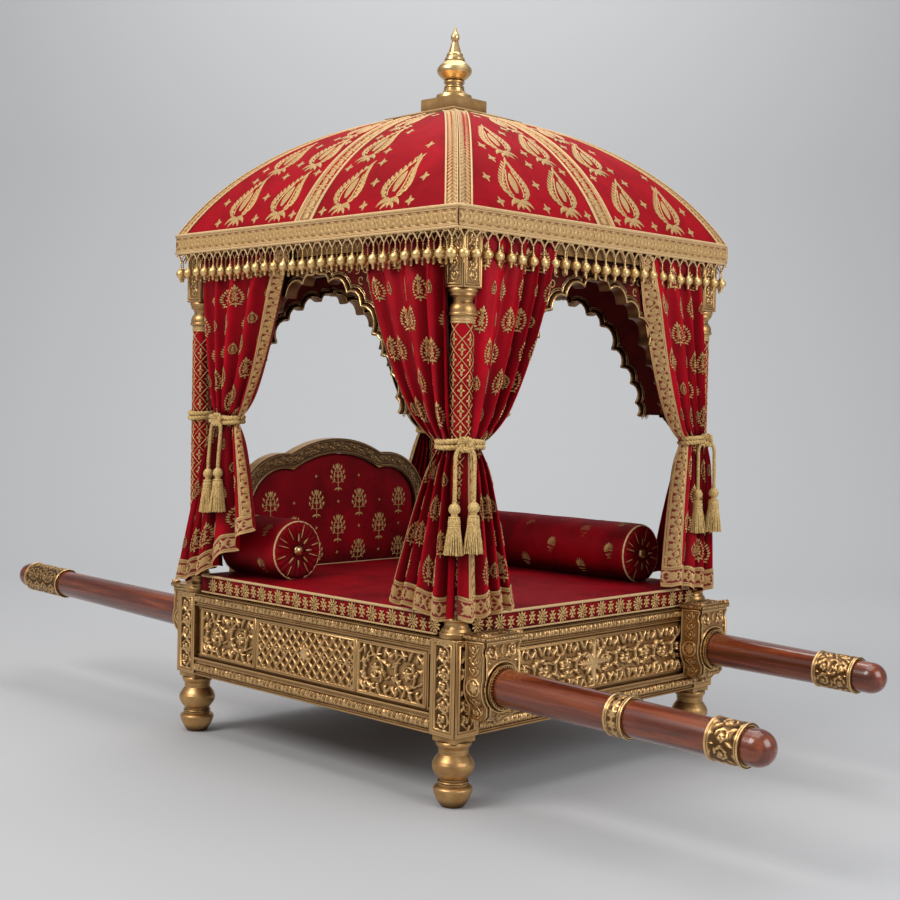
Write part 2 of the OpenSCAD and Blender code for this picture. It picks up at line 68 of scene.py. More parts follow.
def cad(node):
    lo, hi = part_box(node)
    return np.array(lo) * 1000.0, np.array(hi) * 1000.0


def middle(node):
    lo, hi = cad(node)
    return (lo + hi) / 2


def heights(node):
    lo, hi = cad(node)
    return lo[2], hi[2]


# ---------------------------------------------------------------- camera
def camera():
    data = bpy.data.cameras.new("camera")
    data.sensor_width = 36
    data.lens = 58.07
    data.clip_end = 100
    cam = bpy.data.objects.new("camera", data)
    bpy.context.scene.collection.objects.link(cam)
    look = Vector((-0.70510, 0.70829, -0.03405)).normalized()
    level = look.cross(Vector((0, 0, 1))).normalized()
    above = level.cross(look)
    roll = radians(1.18)
    right = level * cos(roll) + above * sin(roll)
    up = -level * sin(roll) + above * cos(roll)
    m = Matrix((right, up, -look)).transposed().to_4x4()
    m.translation = Vector((2.6784, -2.6784, 0.8836))
    cam.matrix_world = m
    bpy.context.scene.camera = cam


camera()


# ---------------------------------------------------------------- materials
class Mat:
    """A node material with short names for what is made in it."""

    def __init__(self, name):
        self.m = bpy.data.materials.new(name)
        self.m.use_nodes = True
        self.n, self.l = self.m.node_tree.nodes, self.m.node_tree.links
        self.b = self.n["Principled BSDF"]
        self.geo = self.n.new("ShaderNodeTexCoord").outputs["Object"]

    def put(self, socket, value):
        socket = self.b.inputs[socket] if isinstance(socket, str) else socket
        if hasattr(value, "links"):
            self.l.new(value, socket)
        elif hasattr(value, "__len__"):
            socket.default_value = tuple(value) + ((1,) if len(value) == 3 and socket.type == "RGBA" else ())
        else:
            socket.default_value = value

    def node(self, kind, **values):
        """A new node with some of its inputs set or linked; an underscore stands for a space."""
        x = self.n.new("ShaderNode" + kind)
        for key, value in values.items():
            self.put(x.inputs[key.replace("_", " ")], value)
        return x

    def noise(self, scale, detail=4, rough=0.55, stretch=None, distort=0.0):
        vec = self.geo
        if stretch:
            vec = self.node("Mapping", Vector=vec, Scale=stretch).outputs["Vector"]
        return self.node("TexNoise", Vector=vec, Scale=scale, Detail=detail, Roughness=rough,
                         Distortion=distort).outputs["Fac"]

    def ramp(self, fac, *stops):
        x = self.node("ValToRGB", Fac=fac)
        e = x.color_ramp.elements
        while len(e) < len(stops):
            e.new(0.5)
        for el, (p, c) in zip(e, stops):
            el.position = p
            el.color = tuple(c) + (1,)
        return x.outputs["Color"]

    def span(self, fac, lo, hi, frm=0.0, to=1.0):
        x = self.node("MapRange", Value=fac, From_Min=frm, From_Max=to, To_Min=lo, To_Max=hi)
        return x.outputs["Result"]

    def mix(self, fac, a, b):
        x = self.node("Mix")
        x.data_type = "RGBA"
        for key, value in (("Factor", fac), ("A", a), ("B", b)):
            self.put(x.inputs[key], value)
        return x.outputs["Result"]

    def bump(self, height, strength, dist=0.001):
        x = self.node("Bump", Strength=strength, Distance=dist, Height=height)
        self.put("Normal", x.outputs["Normal"])

    def relief(self):
        x = self.node("Attribute")
        x.attribute_name = "relief"
        return x.outputs["Fac"]

    # Painted shade: an ambient-occlusion factor, low in hollows, creases and fold valleys, that darkens the
    # base colour there.
    def occlusion_shade(self, distance=0.02, samples=4):
        x = self.node("AmbientOcclusion", Distance=distance)
        x.samples = samples
        return x.outputs["AO"]


def brass(name, dark, mid, high, rough=0.34, carved=False):
    m = Mat(name)
    grime = m.noise(26, 6)
    if carved:
        col = m.ramp(m.relief(), (0.0, [c * 0.5 for c in dark]), (0.3, dark), (0.62, mid), (1.0, high))
        col = m.mix(m.span(grime, 0.0, 0.6), col, mid)
        col = m.mix(m.span(m.relief(), 0.75, 0.0, 0.0, 0.45), col, dark)
    else:
        tone = m.mix(m.span(grime, 0, 1, 0.3, 0.7), mid, high)
        # Painted shade: the colour goes to the dark tone in the hollows and crevices of the turnings, by
        # ambient occlusion.
        col = m.mix(m.span(m.occlusion_shade(), 0.0, 1.0, 0.35, 0.95), dark, tone)
    m.put("Base Color", col)
    m.put("Metallic", 0.92)
    m.put("Roughness", m.span(m.noise(70, 5), rough - 0.08, rough + 0.16))
    m.bump(m.noise(420, 3), 0.12)
    return m.m


def velvet(name, deep, body, sheen, rough=0.62, weight=0.7):
    m = Mat(name)
    nap = m.noise(9, 5, 0.6, distort=0.6)
    col = m.mix(m.span(nap, 0.0, 1.0, 0.3, 0.72), deep, body)
    # Painted shade: fold valleys and creases darkened by ambient occlusion, towards 0.3 of the deep tone.
    col = m.mix(m.span(m.occlusion_shade(0.06, 6), 0.0, 1.0, 0.35, 0.92), [c * 0.30 for c in deep], col)
    m.put("Base Color", col)
    m.put("Roughness", m.span(nap, rough + 0.1, rough - 0.1))
    m.put("Sheen Weight", weight)
    m.put("Sheen Roughness", 0.35)
    m.put("Sheen Tint", sheen)
    m.put("Specular IOR Level", 0.12)
    m.bump(m.noise(1500, 2), 0.18, 0.0006)
    return m.m


def thread(name, dark, light, metal=0.35, rough=0.42, weave=900):
    m = Mat(name)
    strands = m.noise(weave, 2, stretch=(1, 1, 0.35))
    col = m.mix(m.span(strands, 0.0, 1.0, 0.36, 0.62), dark, light)
    m.put("Base Color", m.mix(m.span(m.noise(30, 4), 0.0, 0.35), col, dark))
    m.put("Metallic", metal)
    m.put("Roughness", rough)
    m.put("Sheen Weight", 0.15)
    m.bump(strands, 0.5, 0.0008)
    return m.m


def brocade(name, ground=(0.24, 0.012, 0.008)):
    """Woven gold border cloth: gold figure on a plain ground, from the relief attribute."""
    m = Mat(name)
    lift = m.relief()
    weave = m.noise(1100, 2)
    gold = m.mix(m.span(weave, 0, 1, 0.35, 0.65), (0.42, 0.22, 0.075), (0.84, 0.57, 0.24))
    m.put("Base Color", m.mix(m.span(lift, 0, 1, 0.08, 0.26), ground, gold))
    m.put("Metallic", m.span(lift, 0.0, 0.35, 0.1, 0.3))
    m.put("Roughness", 0.48)
    m.bump(weave, 0.35, 0.0006)
    return m.m


def mahogany():
    m = Mat("polished_mahogany")
    grain = m.noise(14, 8, 0.65, stretch=(0.12, 1.6, 1.6), distort=1.2)
    fine = m.noise(130, 4, 0.6, stretch=(0.03, 1, 1))
    col = m.ramp(grain, (0.30, (0.040, 0.006, 0.002)), (0.5, (0.17, 0.028, 0.007)),
                 (0.72, (0.40, 0.088, 0.020)))
    m.put("Base Color", m.mix(m.span(fine, 0.0, 0.55, 0.4, 0.7), col, (0.07, 0.014, 0.005)))
    m.put("Roughness", m.span(fine, 0.22, 0.34))
    m.put("Coat Weight", 0.6)
    m.put("Coat Roughness", 0.07)
    m.bump(fine, 0.08, 0.0005)
    return m.m


def plain_wood():
    m = Mat("sawn_wood")
    grain = m.noise(10, 7, 0.6, stretch=(0.15, 2, 2), distort=0.8)
    m.put("Base Color", m.ramp(grain, (0.3, (0.13, 0.07, 0.035)), (0.7, (0.30, 0.18, 0.10))))
    m.put("Roughness", 0.65)
    m.bump(grain, 0.3)
    return m.m


def studio_grey():
    """The backdrop: grey from the front, see-through from behind."""
    m = Mat("studio_floor")
    m.put("Base Color", (0.50, 0.505, 0.515))
    m.put("Roughness", 0.75)
    m.put("Specular IOR Level", 0.15)
    mix = m.node("MixShader")
    m.put(mix.inputs[0], m.node("NewGeometry").outputs["Backfacing"])
    m.put(mix.inputs[1], m.b.outputs["BSDF"])
    m.put(mix.inputs[2], m.node("BsdfTransparent").outputs["BSDF"])
    m.put(m.n["Material Output"].inputs["Surface"], mix.outputs[0])
    return m.m


BRASS = brass("antique_brass", (0.11, 0.045, 0.014), (0.43, 0.232, 0.086), (0.69, 0.42, 0.175))
PALE_GOLD = brass("pale_gold", (0.30, 0.13, 0.035), (0.84, 0.53, 0.19), (1.0, 0.74, 0.36), 0.36)
LINING = brass("dark_lining", (0.04, 0.014, 0.007), (0.15, 0.065, 0.026), (0.26, 0.13, 0.05), 0.46)
POLISHED = brass("polished_brass", (0.18, 0.085, 0.03), (0.66, 0.42, 0.17), (0.92, 0.66, 0.32), 0.25)
CARVED = brass("carved_brass", (0.062, 0.026, 0.009), (0.50, 0.280, 0.108), (0.94, 0.63, 0.30), 0.32, True)
DARK_CARVED = brass("dark_carved_brass", (0.035, 0.015, 0.008), (0.20, 0.115, 0.055), (0.62, 0.40, 0.19),
                    0.36, True)
CANOPY_RED = velvet("canopy_velvet", (0.24, 0.0, 0.004), (0.42, 0.0, 0.009), (1.0, 0.03, 0.05), 0.7, 0.14)
CURTAIN_RED = velvet("curtain_velvet", (0.30, 0.0, 0.006), (0.58, 0.0, 0.014), (1.0, 0.06, 0.05), 0.55, 0.16)
CUSHION_RED = velvet("cushion_velvet", (0.14, 0.0, 0.003), (0.36, 0.0, 0.007), (1.0, 0.01, 0.04), 0.62, 0.16)
BOARD_RED = velvet("arch_cloth", (0.06, 0.003, 0.003), (0.17, 0.009, 0.006), (0.5, 0.1, 0.1), 0.6, 0.1)
GOLD_THREAD = thread("gold_embroidery", (0.40, 0.20, 0.055), (0.86, 0.57, 0.22))
PALE_THREAD = thread("gold_piping", (0.58, 0.32, 0.12), (0.95, 0.70, 0.36), 0.2, 0.5)
CORD = thread("gold_cord", (0.42, 0.24, 0.06), (0.90, 0.64, 0.26), 0.12, 0.55, 500)
BROCADE = brocade("gold_brocade")
GILT = brocade("gilt_brocade", (0.30, 0.13, 0.045))
WOOD = mahogany()
SAWN = plain_wood()


def paint(node, material):
    """Puts a material on a CAD node that stays in view."""
    NODES[node].data.materials.clear()
    NODES[node].data.materials.append(material)


# ---------------------------------------------------------------- meshes
def xyz(*parts):
    """Points from separate coordinates; any of them may be one number."""
    return np.stack(np.broadcast_arrays(*parts), axis=-1)


def unit(v):
    return v / (np.linalg.norm(v, axis=1)[:, None] + EPS)


def angles(n):
    """n angles all the way round, from 0."""
    return np.linspace(0, 2 * pi, n + 1)[:-1]


def lengths(p):
    """Distance along a path at each of its points."""
    return np.concatenate([[0], np.cumsum(np.linalg.norm(np.diff(p, axis=0), axis=1))])


def grid_faces(nu, nv, wrap=False):
    rows = np.arange(nu if wrap else nu - 1)
    i, nxt = rows[:, None] * nv, ((rows + 1) % nu)[:, None] * nv
    j = np.arange(nv - 1)
    return np.stack([i + j, nxt + j, nxt + j + 1, i + j + 1], axis=-1).reshape(-1, 4)


def ring_faces(rings, n):
    """Faces between stacked rings of n points, with a face over the last ring and one under the first."""
    i = np.arange(n)
    j = (i + 1) % n
    faces = np.concatenate([np.stack([k * n + i, k * n + j, (k + 1) * n + j, (k + 1) * n + i], axis=1)
                            for k in range(rings - 1)]).tolist()
    return faces + [list(range((rings - 1) * n, rings * n)), list(range(n))[::-1]]


def mesh(name, verts, faces, material, slot, relief=None, angle=None):
    me = bpy.data.meshes.new(name)
    verts = np.asarray(verts, dtype=float) * MM
    me.from_pydata(verts.tolist(), [], [list(map(int, f)) for f in faces])
    me.materials.append(material)
    if relief is not None:
        a = me.attributes.new("relief", "FLOAT", "POINT")
        a.data.foreach_set("value", np.asarray(relief, dtype=np.float32).ravel())
    me.polygons.foreach_set("use_smooth", [True] * len(me.polygons))
    if angle is not None:
        me.set_sharp_from_angle(angle=radians(angle))
    me.update()
    ob = bpy.data.objects.new(name, me)
    bpy.context.scene.collection.objects.link(ob)
    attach(ob, "root")
    return ob


class Pile:
    """Gathers many small pieces into one mesh."""

    def __init__(self):
        self.v, self.f, self.r, self.n = [], [], [], 0

    def add(self, v, f, relief=None):
        v = np.asarray(v, dtype=float)
        self.v.append(v)
        self.f.extend([[int(k) + self.n for k in q] for q in f])
        self.r.append(np.zeros(len(v)) if relief is None else np.asarray(relief, dtype=float).ravel())
        self.n += len(v)

    def lay(self, field, put, ground=0.0):
        """Adds a height field; ground is the relief value of its flat parts."""
        v, f, z = field.place(put)
        self.add(v, f, ground + (1 - ground) * z)

    def arrays(self):
        return np.concatenate(self.v), self.f

    def make(self, name, material, slot, angle=None, relief=False):
        return mesh(name, *self.arrays(), material, slot, np.concatenate(self.r) if relief else None, angle)


def lathe_arrays(profile, seg=40, ripple=None):
    """Rings round Z through (radius, height) points. ripple(angle) scales the radius."""
    p = np.array(profile, dtype=float)
    a = (np.arange(seg) * 2 * pi / seg)[:, None]
    rad = p[:, 0] * (ripple(a) if ripple else 1)
    return xyz(rad * np.cos(a), rad * np.sin(a), p[:, 1]).reshape(-1, 3), grid_faces(seg, len(p), wrap=True)


def turning(stack, z):
    """The same turned profile as the CAD: [height, radius below, radius above, swell] per step."""
    pts = []
    for h, r0, r1, swell in stack:
        n = 1 if swell == 0 else 8
        for t in np.arange(n + 1) / n:
            pts.append((r0 + (r1 - r0) * t + swell * sin(pi * t), z + h * t))
        z += h
    return pts


def tube_arrays(path, radius, seg=8, closed=False, twist=None):
    """A tube along path. twist=(strands, lay length, offset) makes a laid rope instead."""
    p = np.asarray(path, dtype=float)
    n = len(p)
    t = unit(np.roll(p, -1, axis=0) - np.roll(p, 1, axis=0) if closed else np.gradient(p, axis=0))
    ref = np.array([0, 0, 1.0]) if abs(t[0][2]) < 0.9 else np.array([1.0, 0, 0])
    u = np.zeros_like(p)
    cur = np.cross(t[0], ref)
    for k in range(n):
        cur = cur - t[k] * np.dot(cur, t[k])
        cur /= np.linalg.norm(cur) + EPS
        u[k] = cur
    w = np.cross(t, u)
    if twist is not None:
        strands, lay, off = twist
        s = lengths(p)
        pile = Pile()
        for k in range(strands):
            ph = 2 * pi * (s / lay + k / strands)
            q = p + off * (u * np.cos(ph)[:, None] + w * np.sin(ph)[:, None])
            pile.add(*tube_arrays(q, radius, seg, closed))
        return pile.arrays()
    a = (np.arange(seg) * 2 * pi / seg)[:, None]
    r = np.broadcast_to(radius, (n,))[:, None, None]
    v = p[:, None, :] + r * (u[:, None, :] * np.cos(a) + w[:, None, :] * np.sin(a))
    i = np.arange(n if closed else n - 1) * seg
    j = (i + seg) % (n * seg)
    seam = np.stack([i + seg - 1, j + seg - 1, j, i], axis=1)
    return v.reshape(-1, 3), np.concatenate([grid_faces(n, seg, wrap=closed), seam])


def resample(path, step, closed=False):
    p = np.asarray(path, dtype=float)
    if closed:
        p = np.vstack([p, p[:1]])
    s = lengths(p)
    n = max(2, int(round(s[-1] / step)))
    q = np.linspace(0, s[-1], n + 1)
    if closed:
        q = q[:-1]
    return np.stack([np.interp(q, s, p[:, k]) for k in range(p.shape[1])], axis=1)


# ---------------------------------------------------------------- carving: strokes pressed into a height grid
class Relief:
    """Heights 0 to 1 over a w by h field centred on 0, 0."""

    def __init__(self, w, h, step):
        self.w, self.h = w, h
        self.nx, self.ny = int(w / step) + 1, int(h / step) + 1
        self.x, self.y = np.linspace(-w / 2, w / 2, self.nx), np.linspace(-h / 2, h / 2, self.ny)
        self.z = np.zeros((self.nx, self.ny))

    def stroke(self, pts, rad, top=1.0):
        pts = np.asarray(pts, dtype=float)
        rad = np.broadcast_to(rad, (len(pts),))
        for k in range(len(pts) - 1):
            p, q, r0, r1 = pts[k], pts[k + 1], rad[k], rad[k + 1]
            r = max(r0, r1)
            i0, i1 = np.searchsorted(self.x, [min(p[0], q[0]) - r, max(p[0], q[0]) + r])
            j0, j1 = np.searchsorted(self.y, [min(p[1], q[1]) - r, max(p[1], q[1]) + r])
            if i0 >= i1 or j0 >= j1:
                continue
            gx, gy = self.x[i0:i1, None], self.y[None, j0:j1]
            d = q - p
            t = np.clip(((gx - p[0]) * d[0] + (gy - p[1]) * d[1]) / (d @ d + EPS), 0, 1)
            dist = np.hypot(gx - p[0] - d[0] * t, gy - p[1] - d[1] * t)
            rr = np.maximum(r0 + (r1 - r0) * t, 0.05)
            v = top * np.sqrt(np.clip(1 - (dist / rr) ** 2, 0, 1))
            self.z[i0:i1, j0:j1] = np.maximum(self.z[i0:i1, j0:j1], v)

    def strokes(self, items, top=1.0):
        for pts, rad in items:
            self.stroke(pts, rad, top)

    def line(self, y, rad, top=1.0):
        """A straight ridge at y over the whole width."""
        self.stroke([(-self.w / 2, y), (self.w / 2, y)], rad, top)

    def box(self, x0, x1, y, rad, top=1.0):
        self.stroke([(x0, -y), (x1, -y), (x1, y), (x0, y), (x0, -y)], rad, top)

    def border(self, inset, rad, top=1.0):
        self.box(inset - self.w / 2, self.w / 2 - inset, self.h / 2 - inset, rad, top)

    def place(self, put):
        """put(x, y, height) gives the points in mm."""
        gx, gy = np.meshgrid(self.x, self.y, indexing="ij")
        z = self.z.ravel()
        return put(gx.ravel(), gy.ravel(), z), grid_faces(self.nx, self.ny), z


def alternate(k):
    return 1 if k % 2 else -1


def leaf(x, y, ang, length, width, curl=0.0, n=6):
    t = np.linspace(0, 1, n)
    a = ang + curl * t
    step = length / (n - 1)
    px = x + np.concatenate([[0], np.cumsum(np.cos(a[:-1]) * step)])
    py = y + np.concatenate([[0], np.cumsum(np.sin(a[:-1]) * step)])
    rad = width / 2 * np.clip(np.sin(pi * (0.12 + 0.86 * t) ** 0.8), 0.12, 1)
    return np.stack([px, py], axis=1), rad


def petals(count, start, length, width, turn=0.0, x=0.0, y=0.0, n=6):
    """Leaves round x, y that begin at the distance start from it."""
    return [leaf(x + start * cos(a), y + start * sin(a), a, length, width, n=n)
            for a in turn + np.arange(count) * 2 * pi / count]


def flower(x, y, r, count=6, turn=0.0):
    return petals(count, 0.2 * r, 0.8 * r, 0.62 * r, turn, x, y) + [([(x, y), (x + 0.01, y)], 0.26 * r)]


def scroll(x, y, r, start, way, wid, turns=1.15, leaves=6):
    """A vine that winds in to a flower, with leaves on both sides of it."""
    n = 26
    th = start + way * np.linspace(0, turns * 2 * pi, n)
    rho = np.linspace(r, r * 0.34, n)
    pts = np.stack([x + rho * np.cos(th), y + rho * np.sin(th)], axis=1)
    out = [(pts, np.linspace(wid, wid * 0.7, n))]
    for k in np.linspace(1, n * 0.72, leaves).astype(int):
        out.append(leaf(*pts[k], th[k] + way * 0.95, r * 0.46, wid * 2.3, way * 0.9))
        out.append(leaf(*pts[k], th[k] + pi + way * 0.2, r * 0.28, wid * 1.7, way * 1.2))
    return out + flower(x, y, r * 0.34, 6, start)


def foliage(field, x0, x1, h, wid):
    """Dense scrolls side by side from x0 to x1 with leaves in every gap, of height h."""
    n = max(2, 2 * int(round((x1 - x0) / (h * 0.72) / 2)))
    pitch = (x1 - x0) / n
    # leaves in the gaps: place as a share of the pitch and the height, lean, length
    gaps = ((0.16, 0.50, -1.15, 0.24), (0.36, 0.49, -0.75, 0.22), (0.49, 0.30, 0.9, 0.24),
            (0.46, 0.10, 1.5, 0.18))
    for k in range(n):
        cx, way = x0 + (k + 0.5) * pitch, alternate(k)
        field.strokes(scroll(cx, 0, min(pitch, h) * 0.42, way * pi / 2, way, wid, leaves=8))
        for sy in (-1, 1):
            for sx in (-1, 1):
                for fx, fy, a, ln in gaps:
                    ang = (-sy if a < 0 else sy) * pi / 2 + sx * sy * a * 0.6
                    field.strokes([leaf(cx + sx * pitch * fx, sy * h * fy, ang, h * ln, wid * 3.1,
                                        sx * sy * 0.7)])


def lattice(field, x0, x1, h, pitch, wid):
    mid = (x0 + x1) / 2
    n = int((x1 - x0 + h) / pitch) + 3
    for sgn in (-1, 1):
        for k in range(-n, n):
            p = np.array([mid + k * pitch - sgn * h / 2, -h / 2])
            q = np.array([mid + k * pitch + sgn * h / 2, h / 2])
            pts = p + (q - p) * np.linspace(0, 1, 40)[:, None]
            pts = pts[(pts[:, 0] > x0) & (pts[:, 0] < x1)]
            if len(pts) > 1:
                field.stroke(pts, wid, 0.85)
                field.stroke(pts + [1.6, 0], 1.0, 1.0)
    k = 0
    for cx in np.arange(mid - 12 * pitch, x1, pitch / 2):
        for cy in (-h / 4, 0, h / 4) if h > 60 else (0,):
            if x0 + 6 < cx < x1 - 6 and k % 2 == 0:
                field.strokes(flower(cx, cy, 6.0, 4, pi / 4))
            k += 1
    field.strokes(flower(mid, 0, h * 0.20, 8))


# ---------------------------------------------------------------- places on the frame
EDGES = ("right", "left", "front", "rear")
SIDES = EDGES[:2]
CORNERS = {"front_right": (1, -1), "front_left": (1, 1), "rear_right": (-1, -1), "rear_left": (-1, 1)}
POST = np.abs(middle("post_front_right"))[:2]
BLOCK = cad("corner_block_front_right")
BLOCK_W = BLOCK[1][0] - BLOCK[0][0]
FACE = {edge: abs(BLOCK[0][1]) if edge in SIDES else BLOCK[1][0] for edge in EDGES}
DECK = heights("deck_boards")[1]
BEAM_Z = heights("head_beams")[0]
POLE = cad("pole_right")
POLE_Y = abs((POLE[0][1] + POLE[1][1]) / 2)
POLE_R = (POLE[1][1] - POLE[0][1]) / 2
POLE_Z = DECK - 87.0
TILT = radians(1.2)


def on_side(edge, face):
    """Maps (along, up, out) to the row frame on one of the four sides; face is the distance of the plane."""
    sign = 1 if edge in ("right", "front") else -1

    def put(x, z, out):
        d = sign * (face + out)
        return xyz(sign * x, -d, z) if edge in SIDES else xyz(d, sign * x, z)
    return put


def on_post(sx, sy, side, s):
    """Maps (along, up, out) to a face of what stands on a corner; s is the way the face looks."""
    def put(x, z, out):
        if side:
            return xyz(sx * POST[0] + x, sy * POST[1] + s * out, z)
        return xyz(sx * POST[0] + s * out, sy * POST[1] + x, z)
    return put


def on_pole(x, y, z, sy):
    """Pole coordinates to the row frame."""
    c, s = cos(TILT), sin(TILT)
    return xyz(x * c + z * s, y + sy * POLE_Y, POLE_Z - x * s + z * c)


# ---------------------------------------------------------------- carved base
def half_round(field, y, height, cuts):
    """A carved half-round moulding along X: slanted leaf pairs on a swelling."""
    core = np.sqrt(np.clip(1 - ((field.y - y) / (height / 2)) ** 2, 0, 1))
    n = int(field.w / cuts)
    under = field.z
    field.z = np.zeros_like(under)
    for k in range(n):
        cx = -field.w / 2 + (k + 0.5) * field.w / n
        for s in (-1, 1):
            field.strokes([leaf(cx - cuts * 0.5, y, s * 0.9, height * 0.46, cuts * 0.5, s * 0.9),
                           leaf(cx + cuts * 0.1, y + s * height * 0.1, s * 1.2, height * 0.36, cuts * 0.34,
                                -s * 0.9)])
        if k % 3 == 0:
            field.strokes(flower(cx, y, height * 0.26, 6))
    field.z = np.maximum(under, core[None, :] * (0.42 + 0.58 * field.z))


def rails_and_panels():
    for edge in EDGES:
        end = edge not in SIDES
        half = POST[int(end)] - BLOCK_W / 2
        low0, low1 = heights("bottom_rail_" + edge)
        top0, top1 = heights("top_rail_" + edge)
        put = on_side(edge, FACE[edge] - 2)
        rails = Pile()
        r = Relief(2 * half, top1 - top0, 1.7)
        half_round(r, 2.0, top1 - top0 - 9, 15)
        r.line(r.h / 2 - 1.6, 1.9, 0.75)
        r.line(1.8 - r.h / 2, 2.0, 0.8)
        rails.lay(r, lambda x, y, h: put(x, y + (top0 + top1) / 2, h * 6.0 - 1.0))
        r = Relief(2 * half, low1 - low0, 1.7)
        half_round(r, -3.0, 25, 15)
        for y, rad, top in ((r.h / 2 - 2.4, 3.0, 0.9), (r.h / 2 - 7.4, 1.6, 0.6), (2.2 - r.h / 2, 2.6, 0.8)):
            r.line(y, rad, top)
        rails.lay(r, lambda x, y, h: put(x, y + (low0 + low1) / 2, h * 7.0 - 1.0))
        rails.make("rail_carving_" + edge, CARVED, "carved_brass", relief=True)

        h = top0 - low1
        r = Relief(2 * half - 2, h - 1, 1.75)
        zones = [(22 - half, half - 22, False)]
        if not end:
            split = half * 0.43
            zones = [(26 - half, -split - 8, False), (8 - split, split - 8, True),
                     (split + 8, half - 26, False)]
        for x0, x1, crossed in zones:
            if crossed:
                lattice(r, x0 + 4, x1 - 4, h - 30, 30.0, 3.8)
            else:
                foliage(r, x0 + 3, x1 - 3, h - 28, 2.9)
            if end:
                r.strokes(petals(4, 0, h * 0.42, h * 0.15) + petals(4, 0, h * 0.28, h * 0.12, pi / 4), 1.15)
                r.strokes(flower(0, 0, h * 0.13, 8), 1.25)
            r.box(x0, x1, h / 2 - 11, 2.4)
            r.box(x0 - 5, x1 + 5, h / 2 - 6, 3.2, 0.8)
        face = FACE[edge] - 12
        put = on_side(edge, face)
        v, f, z = r.place(lambda x, y, q: put(x, y + (low1 + top0) / 2, q * 9.5 - 0.6))
        if end:
            c = v[f].mean(axis=1)
            pole_z = POLE_Z - (1 if edge == "front" else -1) * face * tan(TILT)
            f = f[np.hypot(np.abs(c[:, 1]) - POLE_Y, c[:, 2] - pole_z) > POLE_R + 2]
        mesh("panel_carving_" + edge, v, f, CARVED, "carved_brass", z)


def block_carving():
    z0, z1 = BLOCK[0][2] + 13, BLOCK[1][2]
    h = z1 - z0
    r = Relief(BLOCK_W - 1, h - 1, 1.5)
    half = BLOCK_W / 2 - 17
    for k, cy in enumerate(np.linspace(35 - h / 2, h / 2 - 35, 5)):
        way = alternate(k)
        r.strokes(scroll(0, cy, half * 0.98, -way * pi / 2, way, 2.0, leaves=5))
        for s in (-1, 1):
            r.strokes([leaf(s * half * 0.9, cy + 22, pi / 2 + s * 0.6, 16, 6, s * 0.5),
                       leaf(0, cy + 20, pi / 2 - s * 0.7, 14, 6, -s * 0.8)])
    for inset, rad, top in ((12.5, 2.2, 0.95), (5.5, 4.4, 0.75), (1.2, 2.0, 0.9)):
        r.border(inset, rad, top)
    for name, (sx, sy) in CORNERS.items():
        pile = Pile()
        for side, s in ((True, sy), (False, sx)):
            put = on_post(sx, sy, side, s)
            pile.lay(r, lambda x, y, q: put(x, y + (z0 + z1) / 2, BLOCK_W / 2 - 2.4 + q * 5.0), 0.18)
        pile.make("block_carving_" + name, CARVED, "carved_brass", relief=True)


def capital_carving():
    lo, hi = cad("capital_block_front_right")
    w, h = hi[0] - lo[0], 1258 - lo[2]
    r = Relief(w + 1, h, 1.4)
    for k, cy in enumerate(np.linspace(26 - h / 2, h / 2 - 26, 4)):
        way = alternate(k)
        r.strokes(scroll(0, cy, 12.5, -way * pi / 2, way, 1.9, leaves=6))
        for s in (-1, 1):
            r.strokes([leaf(s * 13, cy + 11, pi / 2 + s * 0.5, 12, 5, s * 0.6),
                       leaf(s * 4, cy + 13, s * 0.4, 9, 4.5, 0.6)])
    r.border(8.5, 2.0, 0.9)
    r.border(2.5, 3.2, 0.9)
    for name, (sx, sy) in CORNERS.items():
        pile = Pile()
        for side, s in ((True, sy), (False, sx), (True, -sy), (False, -sx)):
            put = on_post(sx, sy, side, s)
            pile.lay(r, lambda x, y, q: put(x, y + lo[2] + h / 2, w / 2 - 0.8 + q * 3.6))
        pile.make("capital_carving_" + name, CARVED, "carved_brass", relief=True)


# ---------------------------------------------------------------- poles and their brackets
def pole_sleeve(pile, sy, x0, x1, radius, depth=2.2):
    """A carved sleeve round a pole from x0 to x1; radius is the ground under the carving."""
    length = x1 - x0
    girth = 2 * pi * 40
    r = Relief(girth, length, 1.8)
    if length > 50:
        rows = max(1, int(round((length - 22) / 46)))
        tall, wide = (length - 22) / rows, girth / 7
        for row in range(rows):
            cy = -length / 2 + 11 + (row + 0.5) * tall
            for k in range(7):
                cx = -girth / 2 + (k + 0.5) * wide
                way = alternate(k + row)
                r.strokes(scroll(cx, cy, min(wide, tall) * 0.42, way * pi / 2, way, 2.1, leaves=6))
                for s in (-1, 1):
                    r.strokes([leaf(cx + wide / 2, cy + s * tall * 0.46, -s * pi / 2 + 0.3 * way,
                                    tall * 0.34, 6.5, 0.6 * way),
                               leaf(cx + 4 * way, cy + s * tall * 0.47, 0.5 * s, 12, 5, 0.5)])
    else:
        for k in range(12):
            r.strokes(flower(-girth / 2 + (k + 0.5) * girth / 12, 0, length * 0.26, 6))
    for s in (-1, 1):
        r.line(s * (length / 2 - 2.4), 2.8, 1.5)
        r.line(s * (length / 2 - 7.5), 2.0, 1.0)

    def put(a, b, h):
        ang, rad = a / girth * 2 * pi, radius + h * depth
        return on_pole((x0 + x1) / 2 + b, rad * np.cos(ang), rad * np.sin(ang), sy)
    pile.lay(r, put, 0.22)


